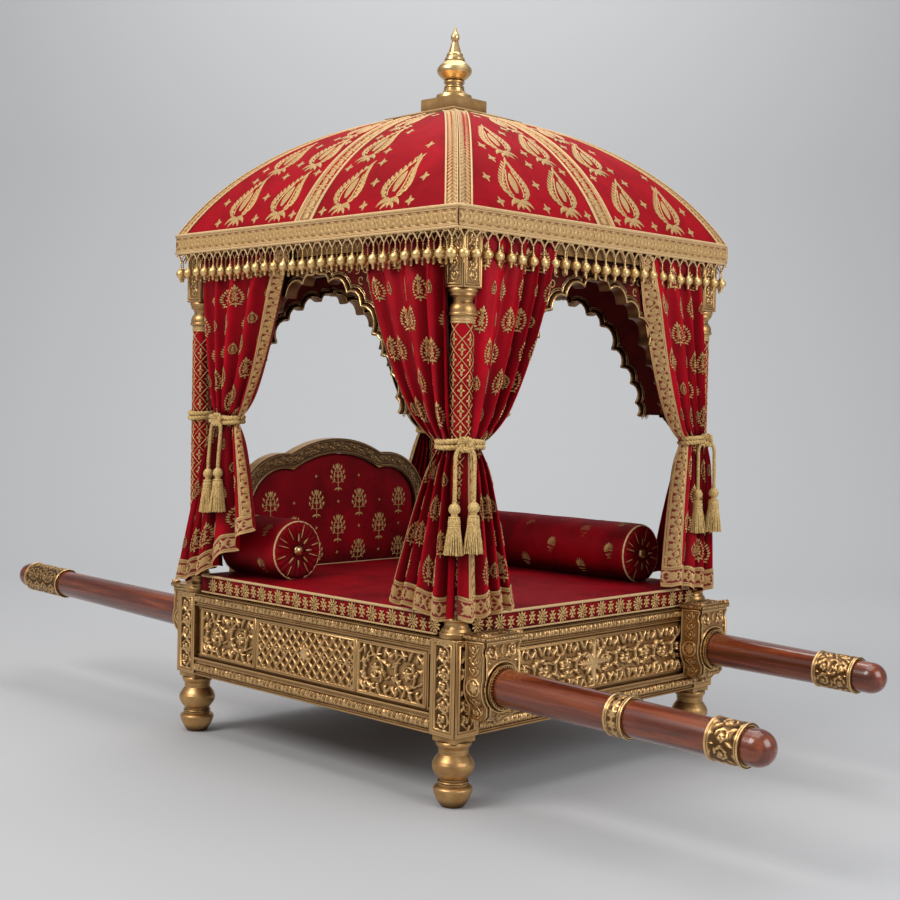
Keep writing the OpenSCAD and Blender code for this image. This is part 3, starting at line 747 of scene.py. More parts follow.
def poles():
    ends = {"right": (1125.0, 1200.0), "left": (882.0, 985.0)}
    for side, sy in (("right", -1), ("left", 1)):
        paint("pole_" + side, WOOD)
        pile = Pile()
        pole_sleeve(pile, sy, *ends[side], 40.3)
        pole_sleeve(pile, sy, -1400, -1215, 40.3)
        if side == "right":
            pole_sleeve(pile, sy, 885, 930, 42.0, 1.6)
        for sgn in (-1, 1):
            # a ring of leaves on each collar
            r = Relief(2 * pi * 50, 9.0, 1.3)
            for k in range(44):
                r.strokes([leaf(-r.w / 2 + k * r.w / 44, -3.5, 1.1, 8.5, 4.2)])
            r.line(3.4, 1.6, 1.0)

            def put(a, b, h):
                rad, ang = 45.6 + b, a / 50
                ring = on_pole(sgn * (585.4 + 0.5 * (b < 0)), rad * np.cos(ang), rad * np.sin(ang), sy)
                return ring + xyz(sgn * 2.4 * h, 0, 0)
            pile.lay(r, put)
        pile.make("pole_ferrule_carving_" + side, CARVED, "brass_fittings", relief=True)


def bulge(d, rad):
    """Half chord of a circle of radius rad at the distance d from its centre."""
    return np.sqrt(np.clip(rad ** 2 - d ** 2, 0, None))


def bracket_carving():
    x0 = FACE["front"]
    x1 = x0 + 60.0
    for name, (sx, sy) in CORNERS.items():
        zc = POLE_Z - sx * (x0 + 30) * tan(TILT)
        high = DECK + 3 - zc
        low = 186.0 - high
        mid = (high - low) / 2

        def depth(v):
            """How far the bracket stands out at the height v over the pole, as in the CAD."""
            above, below = v - high + 22, v + low + 4
            over = np.where(np.abs(above) < 18, 74 - bulge(above, 18), 99)
            under = np.where(np.abs(below) < 36, 82 - bulge(below, 36), 99)
            return np.minimum(60, np.minimum(over, under))

        def half(v):
            w = np.maximum(np.where(v >= -8, 55.0, 0.0), bulge(v, 59.0))
            w = np.maximum(w, np.where((v >= 12 - low) & (v < 0), 41.0, 0.0))
            return np.maximum(w, bulge(v + low - 22, 22.0))
        pile = Pile()
        # front: a double edge all round, a bead ring round the pole, foliage between
        r = Relief(120, high + low, 1.5)
        u, v = r.x[:, None], r.y[None, :] + mid
        inset = np.maximum(np.minimum(55 - np.abs(u), np.minimum(v + 8, high - v)), 59 - np.hypot(u, v))
        inset = np.maximum(inset, np.minimum(41 - np.abs(u), v + low - 12) - 200.0 * (v > 0))
        inset = np.maximum(inset, 22 - np.hypot(u, v + low - 22))
        hole = np.hypot(u, v) - 52.5
        for k in range(26):
            a, lean = 2 * pi * k / 26, 0.9 * alternate(k)
            r.strokes([leaf(66 * cos(a), 66 * sin(a) - mid, a + lean, 17, 6.5, lean)])
        for q in (-1, 1):
            r.strokes(scroll(q * 33, high - 24 - mid, 15, pi / 2, q, 2.4, leaves=7))
            r.strokes([leaf(q * 12, -low + 34 - mid, pi / 2 - q * 0.9, 20, 7, q * 0.8),
                       leaf(q * 4, -low + 12 - mid, pi / 2 - q * 0.6, 22, 7, -q * 0.6)])
        r.strokes([leaf(0, high - 30 - mid, pi / 2, 22, 11), leaf(0, -low + 10 - mid, pi / 2, 26, 9)])
        r.z *= (inset > 8.5) & (hole > 7)
        for d, at, wid, top in ((inset, 2.4, 2.8, 1.0), (inset, 6.9, 1.5, 0.8), (hole, 2.6, 3.0, 1.0)):
            r.z = np.maximum(r.z, top * bulge((d - at) / wid, 1))
        v, f, z = r.place(lambda a, b, h: xyz(sx * (x0 + depth(b + mid) - 0.6 + 4.6 * h), sy * POLE_Y + a,
                                              zc + b + mid))
        ok = ((inset > 0.2) & (hole > 0)).ravel()
        pile.add(v, f[ok[f].all(axis=1)], z)
        # both flanks: a boss between two columns of scrolls
        for q in (-1, 1):
            r = Relief(58, high + low - 2, 1.5)
            r.strokes(flower(0, -mid, 15, 8))
            r.stroke([(18.5 * cos(t), 18.5 * sin(t) - mid) for t in np.linspace(0, 2 * pi, 25)], 2.6, 1.1)
            for s, e in ((1, high), (-1, low)):
                for k, cy in enumerate(np.arange(34, e - 12, 23)):
                    r.strokes(scroll(0, s * cy - mid, 10.5, s * pi / 2, alternate(k), 2.2, leaves=5))
                    r.strokes([leaf(t * 9, s * cy - mid - 4, pi / 2 - t * 0.7, 15, 5.5, t * 0.8)
                               for t in (-1, 1)])
            r.border(3.0, 3.0, 1.0)
            r.border(8.0, 1.4, 0.8)
            pile.lay(r, lambda a, b, h: xyz(sx * (x0 + 1 + (a + 29) / 58 * (depth(b + mid) - 2)),
                                            sy * POLE_Y + q * (half(b + mid) - 0.6 + 3.6 * h), zc + b + mid))
        # the cap: carved edges, a bordered top and a small roll at each outer corner
        zt = DECK + 8.0
        flank = lambda q: lambda a, b, h: xyz(sx * (x0 + 33 + a), sy * POLE_Y + q * (59.4 + 3.4 * h), zt + b)
        front = lambda a, b, h: xyz(sx * (x1 + 5.4 + 3.4 * h), sy * POLE_Y + a, zt + b)
        for length, put in ((120.0, front), (66.0, flank(1)), (66.0, flank(-1))):
            r = Relief(length, 10.0, 1.2)
            half_round(r, 0.0, 9.6, 9.0)
            pile.lay(r, put)
        if sx > 0:
            r = Relief(120, 66, 1.6)
            for q in (-1, 1):
                r.strokes(scroll(q * 30, 0, 17, 0.0, q, 2.2, leaves=7))
            r.strokes(flower(0, 0, 12, 8))
            r.border(3.2, 3.0, 1.0)
            r.border(8.2, 1.5, 0.8)
            pile.lay(r, lambda a, b, h: xyz(sx * (x0 + 33 + b), sy * POLE_Y + a, DECK + 12.7 + 3.0 * h))
        for q in (-1, 1):
            for k, rad in enumerate((6.2, 4.0)):
                side = [(rad * 0.8, 2), (rad, 6), (rad * 0.7, 8.6), (0.2, 9)]
                v, f = lathe_arrays([(a, -b) for a, b in side[::-1]] + side, 20)
                v = xyz(sx * (x1 + 1.5 - 9.0 * k + v[:, 0]), sy * POLE_Y + q * 50.0 + v[:, 2],
                        DECK + 15.5 + v[:, 1])
                pile.add(v, f, np.full(len(v), 0.8))
        pile.make("bracket_carving_" + name, CARVED, "carved_brass", relief=True)


# ---------------------------------------------------------------- embroidery: raised satin-stitch shapes
def motif(items, lift=1.0):
    """Vertices (x, y, height) and faces of low ridges along the items' lines."""
    pile = Pile()
    for pts, rad in items:
        p = np.asarray(pts, dtype=float)
        n = len(p)
        rad = np.broadcast_to(rad, (n,)).astype(float)
        t = unit(np.gradient(p, axis=0))
        wide = np.stack([-t[:, 1], t[:, 0]], axis=1) * rad[:, None]
        crest = lift * np.minimum(1, 0.35 + rad / rad.max())
        v = [np.column_stack([q, h]) for q, h in ((p + wide, 0 * rad), (p, crest), (p - wide, 0 * rad))]
        f = [[k + m, k + 1 + m, n + k + 1 + m, n + k + m] for m in (0, n) for k in range(n - 1)]
        pile.add(np.concatenate(v), f)
    return pile.arrays()


def motif_quad(r):
    return motif(petals(4, 0, r, r * 0.62, 0.2, n=4), 0.8)


def motif_branch(h):
    """An open tree: a stem, a rosette, three pairs of branches that end in round buds, and curled roots."""
    it = [([(0, -h * 0.5), (0, -h * 0.1), (0, h * 0.36)], h * 0.016)]
    for y, a, ln in ((-0.20, 1.05, 0.34), (-0.02, 0.95, 0.32), (0.16, 0.75, 0.24)):
        for s in (-1, 1):
            x, y0 = s * ln * h * sin(a), y * h
            rise = ln * h * cos(a) * 0.9
            it.append(([(0, y0), (x * 0.55, y0 + rise * 0.32), (x, y0 + rise)], h * 0.012))
            it.append(leaf(x, y0 + rise, pi / 2 - s * 0.35, h * 0.13, h * 0.085, s * 0.3, 4))
            it.append(leaf(x * 0.55, y0 + rise * 0.32, pi / 2 - s * 0.2, h * 0.15, h * 0.062, s * 0.4, 4))
            it.append(leaf(x * 0.6, y0 + rise * 0.36, -0.4 if s > 0 else pi + 0.4, h * 0.10, h * 0.05, n=4))
    it += [leaf(0, h * 0.30, pi / 2 + d, h * 0.20, h * 0.09, n=4) for d in (-0.5, 0, 0.5)]
    it += flower(0, h * 0.05, h * 0.085, 6)
    it += [leaf(0, -h * 0.40, pi / 2 - s * 1.5, h * 0.20, h * 0.07, -s * 1.0, 5) for s in (-1, 1)]
    return motif(it)


def motif_bloom(h):
    """A rounded spray: a stem, a broad crown of petals round a rosette, and two low leaves."""
    it = [([(0, -h * 0.5), (0, -h * 0.1)], h * 0.022)]
    for a in np.linspace(-1.9, 1.9, 9):
        it.append(leaf(0.10 * h * sin(a), h * 0.06 + 0.10 * h * cos(a), pi / 2 - a, h * (0.36 - 0.05 * abs(a)),
                       h * 0.135, 0.25 * a, 5))
    it += flower(0, h * 0.06, h * 0.13, 6)
    for s in (-1, 1):
        it.append(leaf(0, -h * 0.30, pi / 2 - s * 1.0, h * 0.30, h * 0.11, -s * 0.9, 5))
        it.append(leaf(0, -h * 0.42, pi / 2 - s * 1.6, h * 0.20, h * 0.08, -s * 0.9, 4))
    return motif(it)


def motif_boteh(h):
    """An upright almond packed with small petals, on a stem with two low leaves."""
    it = [([(0, -h * 0.5), (0, -h * 0.28)], h * 0.022), leaf(0, h * 0.27, pi / 2, h * 0.24, h * 0.12, n=3)]
    for t in np.linspace(0.02, 0.94, 7):
        w = 0.20 * h * sin(pi * (0.10 + 0.84 * t) ** 0.72)
        for s in (-1, 1):
            it.append(leaf(s * w, h * (-0.28 + 0.60 * t), pi / 2 - s * (1.7 - 1.2 * t), h * 0.13, h * 0.085,
                           s * 0.3, 3))
    for y, size in ((-0.13, 0.135), (0.06, 0.115), (0.21, 0.07)):
        it += petals(5, 0.02 * h, h * size, h * size * 0.62, 0.4, y=h * y, n=3)
    it += [leaf(0, -h * 0.36, pi / 2 - s * 1.5, h * 0.24, h * 0.075, -s * 1.0, 4) for s in (-1, 1)]
    return motif(it)


def motif_paisley(h):
    """A flame-tipped paisley: a serrated ring, a second ring, a filled almond, and curled leaves under it."""
    it = []
    lean = lambda t: 0.15 * h * t ** 2.4
    half = lambda t: 0.250 * h * np.sin(pi * np.clip(t, 0.0, 1) ** 0.60) * (1 - 0.45 * t) + 0.004 * h
    up = lambda t: -0.34 * h + 0.74 * h * t
    for s in (-1, 1):
        t = np.linspace(0.02, 0.97, 26)
        it.append((xyz(s * half(t) + lean(t), up(t)), h * 0.016))
        for k in np.arange(0.06, 0.93, 0.083):
            it.append(leaf(s * half(k) + lean(k), up(k), pi / 2 - s * (1.0 - 0.45 * k), h * (0.12 - 0.04 * k),
                           h * 0.062, s * 0.7, 4))
        t = np.linspace(0.08, 0.74, 16)
        it.append((xyz(s * half(t) * 0.62 + lean(t), up(t)), h * 0.014))
        for k in np.arange(0.14, 0.66, 0.10):
            it.append(leaf(s * half(k) * 0.80 + lean(k), up(k) - 0.01 * h, pi / 2 - s * 0.5, h * 0.07,
                           h * 0.045, s * 0.4, 4))
    core = np.linspace(0.16, 0.66, 9)
    it.append((xyz(lean(core), up(core)), h * 0.070 * np.sin(np.linspace(0.35, 2.9, 9))))
    it.append(leaf(lean(0.90), up(0.90), pi / 2 - 0.35, h * 0.19, h * 0.060, -0.3, 5))
    for s in (-1, 1):
        it.append(leaf(0, -h * 0.36, pi / 2 - s * 1.35, h * 0.27, h * 0.080, -s * 1.5, 7))
        it.append(leaf(s * 0.02 * h, -h * 0.40, pi / 2 - s * 2.0, h * 0.16, h * 0.06, -s * 1.0, 5))
        it.append(leaf(s * 0.21 * h, -h * 0.26, pi / 2 + s * 0.9, h * 0.08, h * 0.05, s * 0.6, 4))
    it.append(leaf(0, -h * 0.36, -pi / 2, h * 0.13, h * 0.060, n=4))
    return motif(it, 1.4)


def turned(shape, rot, scale=1.0):
    v, f = shape
    c, s = cos(rot), sin(rot)
    return xyz(scale * (v[:, 0] * c - v[:, 1] * s), scale * (v[:, 0] * s + v[:, 1] * c), v[:, 2]), f


def stamp(pile, shape, surface, x, y, rot=0.0, scale=1.0, base=0.4, keep=None):
    """Lays a motif on surface(x, y), which gives points in mm, with its ridges outwards."""
    v, f = turned(shape, rot, scale)
    px, py = v[:, 0] + x, v[:, 1] + y
    if keep is not None and not np.all(keep(px, py)):
        return
    e = 0.5
    p = surface(px, py)
    nrm = unit(np.cross(surface(px + e, py) - p, surface(px, py + e) - p))
    pile.add(p + nrm * (base + v[:, 2])[:, None], f)


# ---------------------------------------------------------------- posts: the same turned profiles as the CAD
FOOT = [[7, 37.5, 37.5, 0], [8, 36.5, 33, 1.5], [6, 33, 31, 0], [16, 30, 29, -3], [8, 32, 32, 2.5],
        [7, 31, 27, 0]]
NECK = [[8, 30, 30, 2], [22, 30, 22, 3], [14, 22, 29, -2.5], [6, 30, 30, 0], [10, 31, 31, 2]]
SHAFT_R = 24.5


def round_shaft(c, rad, ang, z):
    return xyz(c[0] + rad * np.cos(ang), c[1] + rad * np.sin(ang), z)


def post_shafts():
    z0, z1 = heights("post_front_right")
    foot_top, neck = z0 + sum(s[0] for s in FOOT), z1 - sum(s[0] for s in NECK)
    height, tall = neck - foot_top, 44.0
    girth = 2 * pi * SHAFT_R
    sprays = [leaf(0, s * 7, s * pi / 2, 6.5, 5.5) for s in (1, -1)]
    bloom = motif(flower(0, 0, 8.5, 4) + sprays, 0.8)
    for name, (sx, sy) in CORNERS.items():
        c = np.array([sx * POST[0], sy * POST[1], 0])
        pile = Pile()
        for prof in (turning(FOOT, z0), turning(NECK, neck)):
            v, f = lathe_arrays([(0.5, prof[0][1])] + prof + [(0.5, prof[-1][1])], 36)
            pile.add(v + c, f)
        pile.make("post_turnings_" + name, BRASS, "antique_brass", angle=38)
        v, f = lathe_arrays([(SHAFT_R, z) for z in np.linspace(foot_top, neck, 40)[::3]], 36)
        shaft = mesh("post_shaft_" + name, v + c, f, CANOPY_RED, "embroidered_cloth")
        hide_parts("post_" + name)
        # a lattice of gold braid on the cloth, with a leafy flower in each diamond
        gold = Pile()
        q = np.linspace(0, height, 90)
        for hand in (-1, 1):
            for k in range(4):
                a = hand * q / tall * pi / 2 + k * pi / 2
                gold.add(*tube_arrays(round_shaft(c, SHAFT_R + 0.5, a, foot_top + q), 1.25, 4))
        for row in range(int(2 * height / tall)):
            z = foot_top + row * tall / 2
            if not foot_top + 50 < z < neck - 34:
                continue
            for k in range(4):
                a = (k + 0.5 * (row % 2)) * pi / 2 + pi / 4
                rad = SHAFT_R + 0.2
                stamp(gold, bloom, lambda x, y: round_shaft(c, rad, a + x / rad, z + y), 0, 0)
        gold.make("post_braid_" + name, GOLD_THREAD, "gold_cord")
        # border bands at the foot and head of the cloth
        bands = Pile()
        for za, zb, blooms in ((foot_top, foot_top + 42, 6), (neck - 16, neck, 0)):
            r = Relief(girth, zb - za, 1.5)
            for k in range(blooms):
                r.strokes(flower(-girth / 2 + (k + 0.5) * girth / blooms, 0, r.h * 0.27, 6))
            for s in (-1, 1):
                r.line(s * (r.h / 2 - 2), 2.2, 1.0)
                r.line(s * (r.h / 2 - 7), 1.5, 0.8)
            bands.lay(r, lambda x, y, h: round_shaft(c, SHAFT_R + 0.5 + 1.6 * h, x / SHAFT_R,
                                                     y + (za + zb) / 2))
        bands.make("post_bands_" + name, BROCADE, "gold_cord", relief=True)


# ---------------------------------------------------------------- canopy
RIM = (cad("canopy_cover")[1] - cad("canopy_cover")[0])[:2] / 2
DOME0, DOME1 = heights("canopy_cover")
CROWN = cad("crown_plinth")[1][0]
DOME_R = 602.0


def arc(rim):
    """Centre of a side's curve in the vertical plane, and its angles at the rim and the crown."""
    p, q = np.array([rim, DOME0]), np.array([CROWN, DOME1])
    d = q - p
    chord = np.linalg.norm(d)
    c = (p + q) / 2 - sqrt(DOME_R ** 2 - (chord / 2) ** 2) / chord * np.array([d[1], -d[0]])
    return c, atan2(DOME0 - c[1], rim - c[0]), atan2(DOME1 - c[1], CROWN - c[0])


ARCS = {edge: arc(RIM[1] if edge in SIDES else RIM[0]) for edge in EDGES}


def dome_side(edge):
    """surface(x, s, lift): x across the side, s up along its curve from the rim."""
    c, a0, _ = ARCS[edge]

    def surface(x, s, lift=0.0):
        a = a0 + s / DOME_R
        return on_side(edge, 0.0)(x, c[1] + (DOME_R + lift) * np.sin(a), c[0] + (DOME_R + lift) * np.cos(a))
    return surface


def dome_length(edge):
    _, a0, a1 = ARCS[edge]
    return (a1 - a0) * DOME_R


def across(edge, s):
    """Half width of a side at arc length s."""
    c, a0, _ = ARCS[edge]
    other, _, _ = ARCS["front" if edge in SIDES else "right"]
    z = c[1] + DOME_R * np.sin(a0 + s / DOME_R)
    return other[0] + np.sqrt(np.maximum(DOME_R ** 2 - (z - other[1]) ** 2, 0))


# rows of motifs on half a side: distance up from the rim, distances from the middle, scale
PAISLEYS = ((92, (118, 283, 424), 1.0), (248, (98, 236, 352), 0.94), (378, (88, 205), 0.80),
            (470, (78,), 0.55))
QUADS = ((26, (56, 200, 352)), (92, (200, 362)), (160, (58, 178, 300, 410)), (205, (160, 300)),
         (288, (58, 166, 290)), (322, (130, 250)), (400, (56, 150)), (440, (56, 140, 205)), (486, (50, 130)))


def canopy():
    cover, motifs = Pile(), Pile()
    paisley, quad = motif_paisley(162), motif_quad(14)
    rows, cols = 44, 64
    for edge in EDGES:
        L = dome_length(edge)
        side = dome_side(edge)

        def puff(t, s):
            """The cloth swells between the ribs."""
            return 0.6 + 4.5 * np.abs(np.sin(pi * t)) ** 0.8 * np.sin(pi * np.clip(s / L, 0, 1)) ** 0.5

        def puffed(x, s):
            return side(x, s, puff(np.clip(x / across(edge, np.clip(s, 0, L)), -1, 1), s))

        def keep(x, s):
            return (np.abs(x) < across(edge, np.clip(s, 0, 800)) - 42) & (np.abs(x) > 36)
        s, t = np.meshgrid(np.linspace(0, L, rows), np.linspace(-1, 1, cols), indexing="ij")
        waves = 0.5 * np.sin(9 * t + 5 * s / L) * np.sin(pi * s / L)
        cover.add(side(t * across(edge, s), s, puff(t, s) + waves).reshape(-1, 3), grid_faces(rows, cols))
        for sx in (-1, 1):
            for s, spots, size in PAISLEYS:
                for x in spots:
                    stamp(motifs, paisley, puffed, sx * x, s, scale=size, keep=keep)
            for s, spots in QUADS:
                for x in spots:
                    stamp(motifs, quad, puffed, sx * x, s, keep=keep)
    cover.make("canopy_velvet_cover", CANOPY_RED, "canopy_velvet")
    motifs.make("canopy_embroidery", GOLD_THREAD, "gold_cord")
    paint("canopy_cover", BOARD_RED)

    ribs, cords = Pile(), Pile()
    for edge in EDGES:
        L = dome_length(edge) - 2
        side = dome_side(edge)
        q = np.linspace(0, L, 40)

        def raised(x, s, h):
            base = side(x, s, 1.2)
            return base + (side(x, s, 3.0) - base) * h[:, None]
        # middle rib
        r = Relief(L, 60, 2.0)
        pitch = L / int(L / 34)
        for cx in -L / 2 + (np.arange(int(L / 34)) + 0.5) * pitch:
            r.strokes(flower(cx, 0, 11, 6))
            for s in (-1, 1):
                r.strokes([leaf(cx + pitch / 2, 0, s * 0.9, 19, 6, s * 0.8),
                           leaf(cx + pitch / 2, 0, pi - s * 0.9, 19, 6, -s * 0.8)])
        for s in (-1, 1):
            r.line(s * 21, 1.8, 0.9)
        ribs.lay(r, lambda a, b, h: raised(b, a + L / 2, h))
        # hip ribs: one strip along each slanting edge
        hip = Relief(L, 36, 2.0)
        n = int(L / 11)
        for cx in -L / 2 + (np.arange(n) + 0.5) * L / n:
            hip.strokes([leaf(cx - 5, 14 * s, -0.95 * s, 17, 6.4, 0.3 * s) for s in (-1, 1)])
        for s in (-1, 1):
            ribs.lay(hip, lambda a, b, h: raised(s * (across(edge, a + L / 2) - 19 - b), a + L / 2, h))
            for off, rad in ((30, 2.4), (24.5, 1.3)):
                cords.add(*tube_arrays(side(s * off, q, 3.2), rad, 6))
            for off, rad in ((37, 2.4), (0.8, 1.2)):
                cords.add(*tube_arrays(side(s * (across(edge, q) - off), q, 3.2), rad, 6))
    ribs.make("canopy_ribs", GILT, "gold_cord", relief=True)
    cords.make("canopy_rib_cords", PALE_THREAD, "gold_cord")


# ---------------------------------------------------------------- rim band and fringe
def rim_band():
    lo, hi = cad("canopy_band")
    z0, z1 = lo[2], hi[2]
    pile, cords = Pile(), Pile()
    for edge in EDGES:
        along, face = (hi[0], hi[1]) if edge in SIDES else (hi[1], hi[0])
        r = Relief(2 * along, z1 - z0, 1.6)
        n = int(2 * along / 27)
        pitch = 2 * along / n
        x = np.linspace(-along, along, n * 14)
        for turn in (0.0, pi):
            r.stroke(xyz(x, 9.0 * np.cos((x + along) / pitch * pi + turn)), 1.7, 0.9)
        for cx in -along + (np.arange(n) + 0.5) * pitch:
            r.strokes(flower(cx + pitch / 2, 0, 8.0, 8))
            for s in (-1, 1):
                r.strokes([leaf(cx, s * 3, s * pi / 2 + 0.5 * t, 12, 5.0, 0.5 * t) for t in (-1, 1)])
                r.strokes([leaf(cx + pitch / 2 - 7, s * 12.5, 0.2 * s, 14, 4.6, -0.4 * s)])
        r.line(17, 1.5, 0.9)
        r.line(-16.5, 1.5, 0.9)
        put = on_side(edge, face)
        pile.lay(r, lambda x, y, h: put(x, y + (z0 + z1) / 2, 0.5 + h * 2.4))
    for z, grow, rad in ((z1 + 1, 1.0, 4.2), (z1 - 4.5, 1.6, 1.5), (z0 + 3.8, 1.6, 1.5), (z0 - 1.0, 1.0, 3.4)):
        a, b = hi[0] + grow, hi[1] + grow
        hoop = resample([(-a, -b, z), (a, -b, z), (a, b, z), (-a, b, z)], 24.0, closed=True)
        cords.add(*tube_arrays(hoop, rad, 7, closed=True))
    pile.make("rim_band_brocade", GILT, "gold_cord", relief=True)
    cords.make("rim_piping", PALE_THREAD, "gold_cord")


def bead_drop(size, seg):
    """A string of small beads, a ball of radius size and a finial, hanging from the origin."""
    p = [(0.4, 1.0)]
    for c, r in ((-3.5, 2.7), (-9.0, 2.4), (-14.5, 2.9)):
        p += [(r * cos(t), c + r * sin(t)) for t in np.linspace(1.2, -1.2, 3)]
    p += [(3.4, -18.5), (5.4, -20.0), (3.6, -21.6)]
    p += [(size * cos(t), -34.0 + (size - 0.2) * sin(t)) for t in np.linspace(1.25, -1.2, 8)]
    p += [(3.6, -47.0), (5.0, -48.5), (2.6, -50.0), (3.9, -52.0), (3.0, -54.6), (0.3, -57.0)]
    return lathe_arrays(p[::-1], seg)


def fringe():
    """Looped cords under the rim with a bead drop at each dip, in two rows."""
    lo, hi = cad("canopy_band")
    z0, step = lo[2], 36.0
    balls, loops = Pile(), Pile()
    # inset from the band, offset along it, depth of the loops, drop, its height, radius of the loops
    rows = ((1.0, 0.0, 22.0, bead_drop(12.6, 10), 0.96, 2.1), (16.0, 0.5, 26.0, bead_drop(8.8, 6), 0.92, 1.6))
    for inset, shift, dip, (v, f), tall, thick in rows:
        for edge in EDGES:
            along, face = (hi[0] - inset, hi[1] - inset) if edge in SIDES else (hi[1] - inset, hi[0] - inset)
            n = int(round(2 * along / step))
            put = on_side(edge, face)
            for k in range(n):
                x = -along + (k + 0.5) * 2 * along / n + shift * step
                if x > along:
                    continue
                height = tall + 0.04 * sin(7.1 * k + 3 * inset)
                p = put(x + 0.8 * sin(3.3 * k + inset), z0 - dip, 0.5 * sin(2.1 * k))
                balls.add(v * [1, 1, height] + p, f)
            x = np.linspace(-along, along, n * 8 + 1)
            ph = (x + along) / (2 * along) * n * pi + shift * pi
            z = z0 - 2.5 - (dip - 2.5) * (1 - np.abs(np.cos(ph))) ** 0.85
            loops.add(*tube_arrays(put(x, z, 0.0), thick, 5))
            if not shift:
                z = z0 - 2.0 - 6.5 * (1 - np.abs(np.sin(ph))) ** 0.8
                loops.add(*tube_arrays(put(x, z, 1.6), 1.4, 4))
    balls.make("fringe_drops", PALE_GOLD, "brass_fittings")
    loops.make("fringe_braid", PALE_THREAD, "gold_cord")


# ---------------------------------------------------------------- arches
CUSPS = [(47, -32), (112, -60), (162, -92), (203, -156), (236, -205), (270, -248), (288, -300), (296, -334)]


def arch_outline():
    """The lower edge of the arch board from the left foot over the crown to the right foot."""
    side = [(0, 1), (4, -7), (9, -11.5)]
    side += [(26 + 21.0 * cos(a), -32 + 21.0 * sin(a)) for a in np.linspace(radians(108), 0, 9)]
    for p, q in zip(np.array(CUSPS[:-1], float), np.array(CUSPS[1:], float)):
        d = q - p
        c = (p + q) / 2 + 0.24 * np.array([d[1], -d[0]])
        r = np.linalg.norm(d) * hypot(0.5, 0.24)
        a0, a1 = atan2(*(p - c)[::-1]), atan2(*(q - c)[::-1])
        while a1 > a0:
            a1 -= 2 * pi
        lobe = [(c[0] + r * cos(a), c[1] + r * sin(a)) for a in a0 + (a1 - a0) * np.linspace(0, 1, 9)]
        side += [p for p in lobe if p[0] > 46]
    return np.array([(-x, z) for x, z in side[::-1]] + side[1:])


def arches():
    outline = arch_outline()
    crown_z = BEAM_Z - 34
    out = resample(outline, 4.0)
    n = len(out)
    right = outline[outline[:, 0] >= 0]
    right_x, right_z = right[np.argsort(right[:, 0])].T
    t = unit(np.gradient(out, axis=0))
    nrm = xyz(-t[:, 1], t[:, 0])
    nrm *= np.sign(np.median(np.sum((out - np.array([0, -200.0])) * nrm, axis=1)))
    # section of the lining: distance from the outline, distance from the board's middle
    prof = [(-3.0, -16), (-4.0, -12), (-4.4, 0), (-4.0, 12), (-3.0, 16), (2, 16), (5, 14), (5, 9), (5, -9),
            (5, -14), (2, -16)]
    lining, trace, beads = Pile(), Pile(), Pile()
    for edge in EDGES:
        put = on_side(edge, POST[1] if edge in SIDES else POST[0])
        paint("arch_" + edge, BOARD_RED)

        def along(p, o):
            return put(p[:, 0], crown_z + p[:, 1], float(o))
        # a lining as deep as the posts, beads on its two edges, and a fine line inside each
        k = len(prof)
        v = np.stack([along(out + nrm * d, o) for d, o in prof], axis=1).reshape(-1, 3)
        close = np.array([[i * k + k - 1, (i + 1) * k + k - 1, (i + 1) * k, i * k] for i in range(n - 1)])
        lining.add(v, np.concatenate([grid_faces(n, k), close]))
        for o in (-15.0, 15.0):
            beads.add(*tube_arrays(along(out + nrm * 0.6, o), 2.7, 8))
        for o in (-8.6, 8.6):
            for d, rad in ((10.5, 1.7), (15.0, 1.0)):
                p = out + nrm * d
                p = np.vstack([p[:1], (p[:-2] + p[1:-1] + p[2:]) / 3, p[-1:]])
                beads.add(*tube_arrays(along(p, o), rad, 6))
        # close gold tracery over the outer face of the board
        lo, hi = cad("arch_" + edge)
        reach = (hi - lo)[0 if edge in SIDES else 1] / 2 - 14
        for row, cz in enumerate(np.arange(20.0, -322.0, -25.0), 1):
            for k, cx in enumerate(np.arange(14.0 * (row % 2), reach, 28.0)):
                low = np.interp(cx, right_x, right_z) if cx < right_x[-1] else -400.0
                gap = np.min(np.hypot(out[:, 0] - cx, out[:, 1] - cz))
                if cz < low or gap < 26 or cx > reach - 12:
                    continue
                v, f = motif(scroll(cx, cz, 10.5, 1.7 * k + row, alternate(k + row), 1.15, 0.9), 0.8)
                for s in ((-1, 1) if cx > 1 else (1,)):
                    trace.add(put(s * v[:, 0], crown_z + v[:, 1], 8.2 + v[:, 2]), f)
    lining.make("arch_mouldings", LINING, "antique_brass", angle=50)
    beads.make("arch_beads", POLISHED, "brass_fittings")
    trace.make("arch_tracery", GOLD_THREAD, "gold_cord")


# ---------------------------------------------------------------- curtains
TIE_Z = middle("tieback_ropes")[2]
# each corner's (middle, half width) of the side and end bundles by distance from the post; the knot's place
# outwards from the post along X and Y, the way it looks, and its height over the CAD's ropes
TIES = {
    "front_right": dict(side=(11.0, 10.0), end=(11.0, 10.0), knot=(38.0, 22.0), look=(1, -1), z=-6.0),
    "front_left": dict(side=(26.0, 18.0), end=(50.0, 42.0), knot=(52.0, -31.0), look=(1, -1), z=0.0),
    "rear_right": dict(side=(148.0, 44.0), end=(26.0, 14.0), knot=(-148.0, 54.0), look=(0, -1), z=28.0),
    "rear_left": dict(side=(26.0, 16.0), end=(26.0, 16.0), knot=(28.0, 28.0), look=(-1, 1), z=0.0),
}
